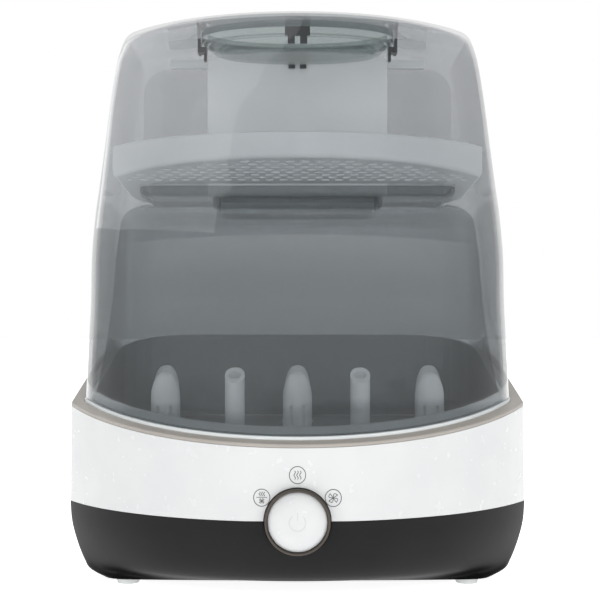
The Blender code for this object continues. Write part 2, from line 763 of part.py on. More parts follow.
# --- Well and boiler -----------------------------------------------------------------------------
def build_well():
    outer = inset(RIM_PLAN, LIP_INSET)
    inner = inset(RIM_PLAN, LIP_INSET + WELL_WALL)
    flange = inset(RIM_PLAN, TRIM_WIDTH + GAP)
    rings = [
        ring(outer, level(WELL_FLOOR)),
        ring(outer, rim_plane(-TRIM_THICKNESS)),
        ring(flange, rim_plane(-TRIM_THICKNESS)),
        ring(flange, rim_plane(SEAT_HEIGHT)),
        ring(outer, rim_plane(SEAT_HEIGHT)),
        ring(outer, rim_plane(LIP_HEIGHT)),
        ring(inner, rim_plane(LIP_HEIGHT)),
        ring(inner, level(WELL_FLOOR + WELL_WALL)),
    ]
    well = add_part("base_well", loft_mesh("base_well", rings), DARK_PP)
    hole = cylinder_mesh("plate_hole", PLATE_HOLE_RADIUS, 0, BEYOND, segments=PLATE_STEPS)
    cut(well, "plate_hole", hole, place=(0, PLATE_Y, 0))
    low = (DUCT_X[0] + FAN_WALL, OUTLET_Y[0] + SLOT_MARGIN, WELL_FLOOR - CUT_DEPTH)
    high = (DUCT_X[1] - FAN_WALL, OUTLET_Y[1] - SLOT_MARGIN, WELL_FLOOR + CUT_DEPTH)
    cut(well, "air_hole", box_mesh("air_hole", low, high))


def build_boiler():
    floor_top = WELL_FLOOR + WELL_WALL
    rim = floor_top + GAP
    dish = rim - PLATE_DEPTH
    profile = [
        (0, dish + PLATE_THICKNESS),
        (PLATE_RADII[0], dish + PLATE_THICKNESS),
        (PLATE_RADII[1], rim + PLATE_THICKNESS),
        (PLATE_RADII[2], rim + PLATE_THICKNESS),
        (PLATE_RADII[2], rim),
        (PLATE_UNDER_RADII[1], rim),
        (PLATE_UNDER_RADII[0], dish),
        (0, dish),
    ]
    add_turned("heating_plate", profile, STEEL, steps=PLATE_STEPS, place=(0, PLATE_Y, 0))
    height = dish - GAP - ELEMENT_TUBE
    shares = [step / ELEMENT_STEPS for step in range(ELEMENT_STEPS + 1)]
    turns = [ELEMENT_START + ELEMENT_SWEEP * share for share in shares]
    arc = [(ELEMENT_RADIUS * math.sin(t), -ELEMENT_RADIUS * math.cos(t), height) for t in turns]
    spread_x, spread_y = TAIL_SPREAD
    ends = (arc[0], arc[-1])
    tails = [(x * spread_x, y * spread_y, height - TAIL_DROP) for x, y, _ in ends]
    route = [tails[0], *arc, tails[1]]
    mesh = tube_mesh("heating_element", route, ELEMENT_TUBE)
    add_part("heating_element", mesh, STEEL, place=(0, PLATE_Y, 0))
    ends = (dish - THERMOSTAT_HEIGHT, dish - GAP)
    thermostat = cylinder_mesh("thermostat", THERMOSTAT_RADIUS, *ends, segments=SMALL_STEPS)
    add_part("thermostat", thermostat, STEEL, place=(0, PLATE_Y, 0))


# --- Air system ----------------------------------------------------------------------------------
def build_fan():
    place = (FAN_X, FAN_Y, 0)
    housing = add_part(
        "fan_housing",
        cylinder_mesh("fan_housing", FAN_RADIUS, FAN_BOTTOM, FAN_TOP, segments=FAN_STEPS),
        DARK_PP,
        place=place,
    )
    outlet_end = DUCT_X[1] + GAP
    low = (outlet_end, OUTLET_Y[0], FAN_BOTTOM)
    high = (FAN_X, OUTLET_Y[1], FAN_TOP)
    join(housing, "outlet_arm", box_mesh("outlet_arm", low, high))
    inside = (FAN_RADIUS - FAN_WALL, FAN_BOTTOM + FAN_WALL, FAN_TOP - FAN_WALL)
    cut(housing, "fan_room", cylinder_mesh("fan_room", *inside, segments=FAN_STEPS), place=place)
    low = (outlet_end - CUT_DEPTH, OUTLET_Y[0] + FAN_WALL, FAN_BOTTOM + FAN_WALL)
    high = (FAN_X, OUTLET_Y[1] - FAN_WALL, FAN_TOP - FAN_WALL)
    cut(housing, "outlet_way", box_mesh("outlet_way", low, high))
    intake = cylinder_mesh("intake", INTAKE_RADIUS, FAN_TOP - CUT_DEPTH, FAN_TOP + CUT_DEPTH)
    cut(housing, "intake", intake, place=place)
    ends = (0, FAN_BOTTOM + CUT_DEPTH)
    motor_hole = cylinder_mesh("motor_hole", MOTOR_HOLE_RADIUS, *ends, segments=SMALL_STEPS)
    cut(housing, "motor_hole", motor_hole, place=place)
    floor = FOOT_HEIGHT + FLOOR_THICKNESS
    ends = (floor + GAP, MOTOR_TOP)
    motor = cylinder_mesh("fan_motor", MOTOR_RADIUS, *ends, segments=SMALL_STEPS)
    add_part("fan_motor", motor, STEEL, place=place)
    build_impeller(place)


def build_impeller(place):
    """Swept blades round a hub, standing on a back disc."""
    pivot = add_empty("fan_axis", place)
    points = []
    for blade in range(BLADES):
        start = 2 * math.pi * blade / BLADES
        for radius, angle in (
            (BLADE_ROOT, start),
            (BLADE_TIP, start + BLADE_ANGLES[0]),
            (BLADE_TIP, start + BLADE_ANGLES[1]),
            (BLADE_ROOT, start + BLADE_ANGLES[2]),
        ):
            points.append((radius * math.cos(angle), radius * math.sin(angle)))
    mesh = outline_mesh("fan_impeller", points, BLADE_HEIGHT)
    middle = (*place[:2], BLADE_MIDDLE)
    impeller = add_part("fan_impeller", mesh, DARK_PP, place=middle, pivot=pivot)
    disc_radius = BLADE_TIP + DISC_MARGIN
    disc = cylinder_mesh("impeller_disc", disc_radius, *DISC_Z, segments=DISC_STEPS)
    join(impeller, "impeller_disc", disc, place=place)


def build_duct():
    """Leads the fan's air up to the opening in the well's floor."""
    low = (DUCT_X[0], OUTLET_Y[0] - SLOT_MARGIN, FAN_BOTTOM)
    high = (DUCT_X[1], OUTLET_Y[1] + SLOT_MARGIN, WELL_FLOOR - GAP)
    duct = add_part("air_duct", box_mesh("air_duct", low, high), DARK_PP)
    low = (low[0] + FAN_WALL, low[1] + FAN_WALL, low[2] + FAN_WALL)
    high = (high[0] - FAN_WALL, high[1] - FAN_WALL, BEYOND)
    cut(duct, "duct_way", box_mesh("duct_way", low, high))
    low = (DUCT_X[1] - CUT_DEPTH, OUTLET_Y[0] + FAN_WALL, FAN_BOTTOM + FAN_WALL)
    high = (DUCT_X[1] + CUT_DEPTH, OUTLET_Y[1] - FAN_WALL, FAN_TOP - FAN_WALL)
    cut(duct, "duct_mouth", box_mesh("duct_mouth", low, high))
    under = WELL_FLOOR + WELL_WALL + GAP
    low = (DUCT_X[0] + GRILLE_INSET, OUTLET_Y[0] - GRILLE_INSET, under)
    high = (DUCT_X[1] - GRILLE_INSET, OUTLET_Y[1] + GRILLE_INSET, under + GRILLE_THICKNESS)
    grille = add_part("air_outlet_grille", box_mesh("air_outlet_grille", low, high), STEEL)
    for number in range(GRILLE_SLOTS):
        x = DUCT_X[0] + GRILLE_START + GRILLE_PITCH * number
        low = (x, OUTLET_Y[0] + GRILLE_SLOT_MARGIN, 0)
        high = (x + GRILLE_SLOT_WIDTH, OUTLET_Y[1] - GRILLE_SLOT_MARGIN, BEYOND)
        cut(grille, f"grille_slot_{number + 1}", box_mesh("slot", low, high))


def build_filter_drawer():
    pivot = add_empty("drawer_slide", (sum(DRAWER_X) / 2, DRAWER_INNER_END, sum(DRAWER_Z) / 2))
    low = (DRAWER_X[0], DRAWER_INNER_END, DRAWER_Z[0])
    high = (DRAWER_X[1], DRAWER_FRONT, DRAWER_Z[1])
    body = box_mesh("filter_drawer", low, high)
    body.transform(Matrix.Translation(-pivot.location))
    drawer = add_part("filter_drawer", body, WHITE_ABS, place=pivot.location, pivot=pivot)
    low = (DRAWER_X[0] + WALL, DRAWER_INNER_END + WALL, DRAWER_Z[0] + DRAWER_FLOOR)
    high = (DRAWER_X[1] - WALL, DRAWER_ROOM_END, BEYOND)
    cut(drawer, "filter_room", box_mesh("filter_room", low, high))
    margin = DRAWER_WINDOW_MARGIN
    low = (DRAWER_X[0] + margin, DRAWER_INNER_END + margin, 0)
    high = (DRAWER_X[1] - margin, DRAWER_WINDOW_END, BEYOND)
    cut(drawer, "drawer_window", box_mesh("drawer_window", low, high))
    for number in range(DRAWER_SLOTS):
        x = DRAWER_X[0] + DRAWER_SLOT_START + DRAWER_SLOT_PITCH * number
        low = (x, REAR_WALL_Y[0], DRAWER_Z[0] + DRAWER_SLOT_MARGIN)
        high = (x + DRAWER_SLOT_WIDTH, REAR_WALL_Y[1], DRAWER_Z[1] - DRAWER_SLOT_MARGIN)
        cut(drawer, f"intake_slot_{number + 1}", box_mesh("slot", low, high))
    margin = WALL + GAP
    low = (DRAWER_X[0] + margin, DRAWER_INNER_END + margin, DRAWER_Z[0] + DRAWER_FLOOR + GAP)
    high = (DRAWER_X[1] - margin, FILTER_END, DRAWER_Z[0] + FILTER_TOP)
    pad = box_mesh("air_filter", low, high)
    pad.transform(Matrix.Translation(-pivot.location))
    add_part("air_filter", pad, FILTER_FELT, place=pivot.location, pivot=pivot)


def build_drawer_rails():
    """Angle rails that the drawer runs in, fixed under the well."""
    for side, name in ((-1, "left"), (1, "right")):
        inner = DRAWER_X[0] - GUIDE_GAP if side < 0 else DRAWER_X[1] + GUIDE_GAP
        far = inner + side * GUIDE_THICKNESS
        lip = inner - side * GUIDE_LIP
        bottom = DRAWER_Z[0] - GUIDE_THICKNESS
        low = (min(inner, far), GUIDE_Y[0], bottom)
        high = (max(inner, far), GUIDE_Y[1], WELL_FLOOR - GAP)
        rail = add_part(f"drawer_rail_{name}", box_mesh("rail", low, high), DARK_PP)
        low = (min(lip, far), GUIDE_Y[0], bottom)
        high = (max(lip, far), GUIDE_Y[1], DRAWER_Z[0] - GUIDE_LIP_GAP)
        join(rail, f"rail_lip_{name}", box_mesh("rail_lip", low, high))


def build_power_inlet():
    wall = RIM_PLAN.rear
    low = (INLET_X - INLET_HALF[0], INLET_FRONT, INLET_Z - INLET_HALF[1])
    high = (INLET_X + INLET_HALF[0], wall + INLET_PROUD, INLET_Z + INLET_HALF[1])
    inlet = add_part("power_inlet", box_mesh("power_inlet", low, high), BLACK_ABS)
    low = (INLET_X - FLANGE_HALF[0], wall + FLANGE_Y[0], INLET_Z - FLANGE_HALF[1])
    high = (INLET_X + FLANGE_HALF[0], wall + FLANGE_Y[1], INLET_Z + FLANGE_HALF[1])
    join(inlet, "inlet_flange", box_mesh("inlet_flange", low, high))
    low = (INLET_X - SOCKET_HALF[0], REAR_WALL_Y[0], INLET_Z - SOCKET_HALF[1])
    high = (INLET_X + SOCKET_HALF[0], REAR_WALL_Y[1], INLET_Z + SOCKET_HALF[1])
    cut(inlet, "socket", box_mesh("socket", low, high))
    for side in (-1, 1):
        pin = cylinder_mesh("pin", PIN_RADIUS, *PIN_ENDS, segments=HOLE_STEPS)
        place = (INLET_X + side * PIN_X, REAR_WALL_Y[0], INLET_Z)
        join(inlet, f"contact_pin_{side + 2}", pin, place=place, turn=(math.pi / 2, 0, 0))


# --- Dial ----------------------------------------------------------------------------------------
def build_dial():
    """The dial's local +Z points out of the front."""
    facing = (math.pi / 2, 0, 0)
    place = (0, DIAL_Y, DIAL_HEIGHT)
    pivot = add_empty("dial_axis", place)
    inner = CAP_RADIUS + GAP
    profile = [
        (0, DIAL_FLOOR),
        (inner, DIAL_FLOOR),
        (inner, DIAL_FRONT - BEZEL_DROP),
        (inner + BEZEL_BEVEL, DIAL_FRONT),
        (DIAL_RADIUS - DIAL_BEVEL[0], DIAL_FRONT),
        (DIAL_RADIUS, DIAL_FRONT - DIAL_BEVEL[1]),
        (DIAL_RADIUS, DIAL_BACK),
        (0, DIAL_BACK),
    ]
    where = {"place": place, "turn": facing}
    add_turned("dial_ring", profile, BRONZE, steps=PLATE_STEPS, pivot=pivot, **where)
    end = DIAL_BACK - GAP
    shaft = cylinder_mesh("dial_shaft", SHAFT_RADIUS, end - SHAFT_LENGTH, end, segments=SHAFT_STEPS)
    add_part("dial_shaft", shaft, STEEL, place=place, turn=facing, pivot=pivot)
    dome = [(CAP_RADIUS * share, CAP_CROWN - CAP_DOME * share**4) for share in CAP_SHARES]
    profile = [*dome, (CAP_RADIUS, CAP_UNDERSIDE), (0, CAP_UNDERSIDE)]
    button = add_empty("button_slide", place)
    add_turned("power_button", profile, WHITE_ABS, steps=PLATE_STEPS, pivot=button, **where)
    build_button_spring(place, facing, button)


def build_button_spring(place, facing, pivot):
    low = DIAL_FLOOR + GAP + SPRING_WIRE
    high = CAP_UNDERSIDE - GAP - SPRING_WIRE
    count = SPRING_TURNS * SPRING_STEPS
    points = []
    for step in range(count + 1):
        angle = 2 * math.pi * SPRING_TURNS * step / count
        height = low + (high - low) * step / count
        points.append((SPRING_RADIUS * math.cos(angle), SPRING_RADIUS * math.sin(angle), height))
    mesh = tube_mesh("button_spring", points, SPRING_WIRE)
    add_part("button_spring", mesh, STEEL, place=place, turn=facing, pivot=pivot)


def build_control():
    low = (-ENCODER_HALF, BOARD_FRONT - ENCODER_DEPTH, DIAL_HEIGHT - ENCODER_HALF)
    high = (ENCODER_HALF, BOARD_FRONT - GAP, DIAL_HEIGHT + ENCODER_HALF)
    add_part("rotary_encoder", box_mesh("rotary_encoder", low, high), STEEL)
    low = (-BOARD_HALF_WIDTH, BOARD_FRONT, BOARD_Z[0])
    high = (BOARD_HALF_WIDTH, BOARD_FRONT + BOARD_THICKNESS, BOARD_Z[1])
    add_part("control_board", box_mesh("control_board", low, high), BOARD_GREEN)


# --- Lid -----------------------------------------------------------------------------------------
def lid_plan(factor, lean):
    """The lid's outline, scaled from its bottom edge, with the bowed front leaning back."""
    plan = scaled(inset(RIM_PLAN, LID_INSET), factor)
    return plan._replace(nose=plan.nose + lean)


def lid_rings(distance):
    """Rings up the lid's side and over its crown to the grip's hole, at a distance inside its face."""
    rings = [ring(inset(lid_plan(1, 0), distance), rim_plane(SEAT_HEIGHT + GAP))]
    for height, factor, lean in LID_LEVELS:
        share = min(1, max(0, (height - CROWN_START) / (CROWN_TOP - CROWN_START)))
        plan = inset(lid_plan(factor, lean), distance * (1 - 0.5 * share))
        rings.append(ring(plan, level(height - distance * share)))
    rings.append(oval(GRIP_HALF_LENGTH, GRIP_HALF_WIDTH, LID_HOLE_HEIGHT - distance))
    return rings


def build_lid():
    pivot = add_empty("lid_slide", (0, 0, 0))
    rings = lid_rings(0) + lid_rings(LID_WALL)[::-1]
    add_part("lid_shell", loft_mesh("lid_shell", rings, hoop=True), SMOKE_CLEAR, pivot=pivot)
    build_grip(pivot)


def oval_band(outline):
    """Rings of oval section from (shrink, height) pairs."""
    sides = [(GRIP_HALF_LENGTH - shrink, GRIP_HALF_WIDTH - shrink, z) for shrink, z in outline]
    return [oval(*side) for side in sides]


def build_grip(pivot):
    mesh = loft_mesh("grip_bezel", oval_band(BEZEL_SECTION), hoop=True)
    add_part("grip_bezel", mesh, SMOKE_CLEAR, pivot=pivot)
    mesh = loft_mesh("grip_bowl", oval_band(BOWL_SECTION))
    bowl = add_part("grip_bowl", mesh, SMOKE_CLEAR, pivot=pivot)
    for number in (-1, 0, 1):
        x = STEAM_SLOT_PITCH * number
        low = (x - STEAM_SLOT_HALF[0], -STEAM_SLOT_HALF[1], STEAM_SLOT_Z[0])
        high = (x + STEAM_SLOT_HALF[0], STEAM_SLOT_HALF[1], STEAM_SLOT_Z[1])
        cut(bowl, f"steam_slot_{number + 2}", box_mesh("slot", low, high))
    build_grip_clips(pivot)


def build_grip_clips(pivot):
    """Snap hooks that hang from the lid's underside beside the bezel."""
    near, far = GRIP_HALF_WIDTH + GAP, GRIP_HALF_WIDTH + CLIP_DEPTH
    for name, side in (("front", -1), ("rear", 1)):
        ys = sorted((side * near, side * far))
        low = (-CLIP_HALF_WIDTH, ys[0], CLIP_MIDDLE)
        high = (CLIP_HALF_WIDTH, ys[1], CLIP_TOP)
        clip = add_part(f"grip_clip_{name}", box_mesh("clip", low, high), BLACK_ABS, pivot=pivot)
        for tooth in (-1, 1):
            x = CLIP_TOOTH_X * tooth
            low = (x - CLIP_TOOTH_HALF, ys[0], CLIP_TIP)
            high = (x + CLIP_TOOTH_HALF, ys[1], CLIP_MIDDLE + SLOT_MARGIN)
            join(clip, f"{name}_tooth_{tooth + 2}", box_mesh("tooth", low, high))
    inner, outer = GRIP_HALF_LENGTH - SIDE_CLIP_REACH[0], GRIP_HALF_LENGTH + SIDE_CLIP_REACH[1]
    for name, side in (("left", -1), ("right", 1)):
        xs = sorted((side * (GRIP_HALF_LENGTH + GAP), side * outer))
        low = (xs[0], -SIDE_CLIP_HALF, SIDE_CLIP_BOTTOM)
        high = (xs[1], SIDE_CLIP_HALF, CLIP_TOP)
        clip = add_part(f"grip_clip_{name}", box_mesh("clip", low, high), BLACK_ABS, pivot=pivot)
        xs = sorted((side * inner, side * outer))
        low = (xs[0], -CLIP_BLOCK_HALF, CLIP_BLOCK_Z[0])
        high = (xs[1], CLIP_BLOCK_HALF, CLIP_BLOCK_Z[1])
        join(clip, f"{name}_block", box_mesh("block", low, high))
        xs = sorted((side * inner, side * (inner + CLIP_LEG_WIDTH)))
        low = (xs[0], -CLIP_LEG_HALF, CLIP_LEG_Z[0])
        high = (xs[1], CLIP_LEG_HALF, CLIP_LEG_Z[1])
        join(clip, f"{name}_leg", box_mesh("leg", low, high))


# --- Tray ----------------------------------------------------------------------------------------
def tray_floor(offset):
    return lambda y: TRAY_FLOOR_FRONT + TRAY_FLOOR_SLOPE * (y - TRAY_PLAN.nose) + offset


def tray_hole_places():
    """Drain holes in staggered rows over the front floor."""
    places = []
    for row in range(TRAY_HOLE_ROWS):
        y = TRAY_HOLE_START_Y + TRAY_HOLE_ROW_PITCH * row
        count = TRAY_FIRST_ROW + row
        places += [(TRAY_HOLE_PITCH * (i - (count - 1) / 2), y) for i in range(count)]
    return places


def build_tray():
    pivot = add_empty("tray_slide", (0, 0, 0))
    inner = inset(TRAY_PLAN, TRAY_WALL)
    rings = [
        ring(inset(TRAY_PLAN, TRAY_EDGE), tray_floor(0)),
        ring(TRAY_PLAN, tray_floor(TRAY_EDGE)),
        ring(TRAY_PLAN, level(TRAY_RIM)),
        ring(inner, level(TRAY_RIM)),
        ring(inner, tray_floor(TRAY_WALL)),
    ]
    tray = add_part("accessory_tray", loft_mesh("accessory_tray", rings), PALE_PP, pivot=pivot)
    for step, (half_width, bottom, top) in enumerate(TRAY_WELLS, 1):
        low = (-half_width, TRAY_WELL_Y[0], bottom)
        high = (half_width, TRAY_WELL_Y[1], top)
        join(tray, f"tray_well_{step}", box_mesh("tray_well", low, high))
    for step, (half_width, bottom, _) in enumerate(TRAY_WELLS, 1):
        half = half_width - TRAY_WALL
        low = (-half, TRAY_WELL_Y[0] + TRAY_WALL, bottom + TRAY_WALL)
        high = (half, TRAY_WELL_Y[1] - TRAY_WALL, TRAY_CUT_TOP)
        cut(tray, f"tray_well_room_{step}", box_mesh("tray_well_room", low, high))
    drills = (TRAY_HOLE_RADIUS, *TRAY_HOLE_Z, tray_hole_places(), TRAY_HOLE_SIDES)
    cut(tray, "tray_holes", drill_mesh("holes", *drills))
    build_divider(pivot)


def standing_outline(name, points, thickness, finish, pivot):
    """A flat panel that stands upright at the divider, its outline given as x and z."""
    mesh = outline_mesh(name, points, thickness)
    place = (0, DIVIDER_Y, 0)
    return add_part(name, mesh, finish, place=place, turn=(math.pi / 2, 0, 0), pivot=pivot)


def build_divider(pivot):
    centre_floor = TRAY_WELLS[1][1] + TRAY_WALL + GAP
    side_floor = TRAY_WELLS[0][1] + TRAY_WALL + GAP
    foot = TRAY_WELLS[1][0] - TRAY_WALL - STEP_CLEARANCE
    half = DIVIDER_HALF_WIDTH
    top = DIVIDER_TOP
    points = [(-foot, centre_floor), (foot, centre_floor), (foot, side_floor), (half, side_floor)]
    shoulders = [(half, top - DIVIDER_CHAMFER), (half - DIVIDER_CHAMFER, top)]
    points += shoulders + [(-x, z) for x, z in reversed(shoulders)]
    points += [(-half, side_floor), (-foot, side_floor)]
    standing_outline("divider_plate", points, DIVIDER_THICKNESS, PALE_PP, pivot)
    roof = WING_TOP - WING_DROP
    arc = [math.pi / 2 * step / WING_STEPS for step in range(WING_STEPS + 1)]
    centre = (WING_REACH - WING_CURL, roof - WING_CURL)
    curl = [(centre[0] + WING_CURL * math.cos(a), centre[1] + WING_CURL * math.sin(a)) for a in arc]
    start = half + WING_GAP
    outer = TRAY_WELLS[0][0] - TRAY_WALL - STEP_CLEARANCE
    step_up = tray_floor(TRAY_WALL + GAP + STEP_CLEARANCE)(TRAY_PLAN.nose)
    right = [(start, side_floor), (outer, side_floor), (outer, step_up), (WING_REACH, step_up), *curl]
    right.append((start, roof))
    for name, side in (("right", 1), ("left", -1)):
        panel = [(side * x, z) for x, z in right][::side]
        standing_outline(f"divider_wing_{name}", panel, WING_THICKNESS, SMOKE_CLEAR, pivot)
        xs = sorted((side * start, side * (start + RAIL_LENGTH)))
        low = (xs[0], DIVIDER_Y - RAIL_HALF_DEPTH, roof + GAP)
        high = (xs[1], DIVIDER_Y + RAIL_HALF_DEPTH, roof + GAP + RAIL_HEIGHT)
        add_part(f"wing_rail_{name}", box_mesh("rail", low, high), PALE_PP, pivot=pivot)


# --- Rack ----------------------------------------------------------------------------------------
def peg_places():
    return [(side * spacing, y) for spacing, y in PEG_ROWS for side in (-1, 0, 1)]


def rack_hole_places():
    """Drain holes in a grid that misses the pegs and posts."""
    places = []
    pitch_x, pitch_y = RACK_HOLE_PITCH
    middle = (RACK_HOLES - 1) / 2
    for row in range(RACK_HOLES):
        y = RACK_HOLE_START_Y + pitch_y * row
        places += [(pitch_x * (column - middle), y) for column in range(RACK_HOLES)]
    keep_clear = peg_places()
    keep_clear += [(side * POST_X, POST_Y) for side in (-1, 1)]
    return [p for p in places if all(math.dist(p, q) > RACK_HOLE_CLEAR for q in keep_clear)]


def build_rack():
    pivot = add_empty("rack_slide", (0, 0, 0))
    plan = inset(RIM_PLAN, RACK_INSET)
    inner = inset(plan, RACK_WALL)
    rings = [
        ring(inner, level(RACK_TOP - RACK_WALL)),
        ring(inner, level(RACK_BOTTOM)),
        ring(plan, level(RACK_BOTTOM)),
        ring(plan, level(RACK_TOP - RACK_EDGE)),
        ring(inset(plan, RACK_EDGE), level(RACK_TOP)),
    ]
    rack = add_part("bottle_rack", loft_mesh("bottle_rack", rings), DARK_PP, pivot=pivot)
    drills = (RACK_HOLE_RADIUS, *RACK_HOLE_Z, rack_hole_places(), RACK_HOLE_SIDES)
    cut(rack, "rack_holes", drill_mesh("holes", *drills))
    build_pegs(pivot)
    build_screen(pivot)


def build_pegs(pivot):
    bottom = RACK_TOP + GAP
    nose = [(radius, PEG_TOP - depth) for radius, depth in PEG_NOSE]
    foot = [(radius, bottom + height) for radius, height in PEG_FOOT]
    profile = [(0, PEG_TOP), *nose, *foot, (0, bottom)]
    for number, (x, y) in enumerate(peg_places(), 1):
        name = f"bottle_peg_{number}"
        peg = add_turned(name, profile, PALE_PP, steps=PEG_STEPS, place=(x, y, 0), pivot=pivot)
        corner = (x, y, bottom)
        low, high = (
            [start + step for start, step in zip(corner, offset)]
            for offset in (PEG_SLOT_LOW, PEG_SLOT_HIGH)
        )
        cut(peg, f"peg_slot_{number}", box_mesh("peg_slot", low, high))
    for name, side in (("left", -1), ("right", 1)):
        place = (side * POST_X, POST_Y, 0)
        mesh = cylinder_mesh("post", POST_RADIUS, bottom, POST_TOP, segments=SMALL_STEPS)
        post = add_part(f"air_post_{name}", mesh, PALE_PP, place=place, pivot=pivot)
        slant = box_mesh("slant", (-CUT_DEPTH, -CUT_DEPTH, 0), (CUT_DEPTH, 2 * CUT_DEPTH, CUT_DEPTH))
        where = (side * POST_X, POST_Y - POST_RADIUS, POST_TOP - POST_SLANT_DROP)
        cut(post, f"slant_{name}", slant, place=where, turn=(POST_SLANT, 0, 0))
        for number, drop in enumerate(POST_HOLE_DROPS, 1):
            ends = (-POST_HOLE_HALF, POST_HOLE_HALF)
            hole = cylinder_mesh("hole", POST_HOLE_RADIUS, *ends, segments=POST_HOLE_SIDES)
            spot = (side * POST_X, POST_Y - POST_HOLE_SHIFT, POST_TOP - drop)
            cut(post, f"hole_{name}_{number}", hole, place=spot, turn=(math.pi / 2, 0, 0))


def build_screen(pivot):
    """Follows the lid's inside round the rear and sides, with a swept free edge."""
    foot = inset(RIM_PLAN, SCREEN_FOOT_INSET)
    away = LID_WALL + SCREEN_CLEARANCE
    walls = [(foot, level(RACK_TOP + GAP)), (foot, rim_plane(LIP_HEIGHT + SCREEN_LIFT[0]))]
    low_plan = inset(lid_plan(LID_LEVELS[0][1], 0), away)
    walls.append((low_plan, rim_plane(LIP_HEIGHT + SCREEN_LIFT[1])))
    for height, factor, lean in LID_LEVELS[1:4]:
        walls.append((inset(lid_plan(factor, lean), away), level(height)))
    top = inset(lid_plan(*LID_LEVELS[4][1:]), away)
    shelf = inset(top, SCREEN_SHELF)
    rings = [ring(plan, height) for plan, height in walls]
    rings.append(ring(top, tray_floor(-GAP)))
    rings.append(ring(shelf, tray_floor(-GAP)))
    rings.append(ring(shelf, tray_floor(-GAP - SCREEN_WALL)))
    rings.append(ring(inset(top, SCREEN_WALL), tray_floor(-GAP - SCREEN_WALL)))
    rings += [ring(inset(plan, SCREEN_WALL), height) for plan, height in walls[::-1]]
    mesh = loft_mesh("rack_screen", rings, hoop=True)
    screen = add_part("rack_screen", mesh, DARK_SMOKE, pivot=pivot)
    step_y, step_top = SWEEP_STEP
    front = [(SWEEP_FRONT, SWEEP_BOTTOM), (step_y, SWEEP_BOTTOM), (step_y, step_top)]
    back = [(SCREEN_EDGE[-1][0], SWEEP_TOP), (SWEEP_FRONT, SWEEP_TOP)]
    sweep = outline_mesh("sweep", [*front, *SCREEN_EDGE, *back], SWEEP_WIDTH)
    sweep.transform(Matrix.Rotation(math.pi / 2, 4, "Z") @ Matrix.Rotation(math.pi / 2, 4, "X"))
    cut(screen, "screen_sweep", sweep)


build_lower_shell()
build_upper_shell()
build_trim_ring()
build_feet()
build_service_cover()
build_well()
build_boiler()
build_fan()
build_duct()
build_filter_drawer()
build_drawer_rails()
build_power_inlet()
build_dial()
build_control()
build_lid()
build_tray()
build_rack()
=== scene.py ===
"""Looks for a countertop bottle sterilizer and dryer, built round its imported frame.

Everything is in metres, with +Z up and the front facing -Y, as the frame has it.
"""

import logging
import math
from dataclasses import dataclass, replace
from enum import Enum
from functools import cache
from typing import Callable, Iterable, Sequence

import bmesh
import bpy
from mathutils import Matrix, Vector


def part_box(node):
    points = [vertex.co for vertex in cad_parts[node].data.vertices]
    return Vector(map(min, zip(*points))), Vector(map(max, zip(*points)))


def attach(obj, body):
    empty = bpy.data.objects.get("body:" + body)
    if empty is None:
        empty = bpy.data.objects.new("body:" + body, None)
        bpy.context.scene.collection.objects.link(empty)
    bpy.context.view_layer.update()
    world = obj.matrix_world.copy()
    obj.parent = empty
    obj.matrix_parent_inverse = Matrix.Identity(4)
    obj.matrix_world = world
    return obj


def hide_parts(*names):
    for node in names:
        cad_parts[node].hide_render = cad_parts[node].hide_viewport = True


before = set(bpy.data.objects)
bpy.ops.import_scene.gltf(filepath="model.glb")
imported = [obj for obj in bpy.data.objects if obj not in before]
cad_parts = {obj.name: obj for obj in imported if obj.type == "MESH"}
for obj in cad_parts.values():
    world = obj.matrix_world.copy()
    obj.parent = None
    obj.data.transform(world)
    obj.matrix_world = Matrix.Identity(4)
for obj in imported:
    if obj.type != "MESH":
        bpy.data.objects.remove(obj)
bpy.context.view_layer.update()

Height = Callable[[float], float]
Ring = list[Vector]

LOG = logging.getLogger("sterilizer")
MM = 0.001
GAP = 0.0003
FRONT_STEPS = 40
CORNER_STEPS = 6
REAR_STEPS = 16
QUARTER_STEPS = 4
TURN_STEPS = 96
PEG_STEPS = 48
SHARP_ANGLE = math.radians(38)
BEVEL_WIDTH = 0.3 * MM
BEVEL_SEGMENTS = 2


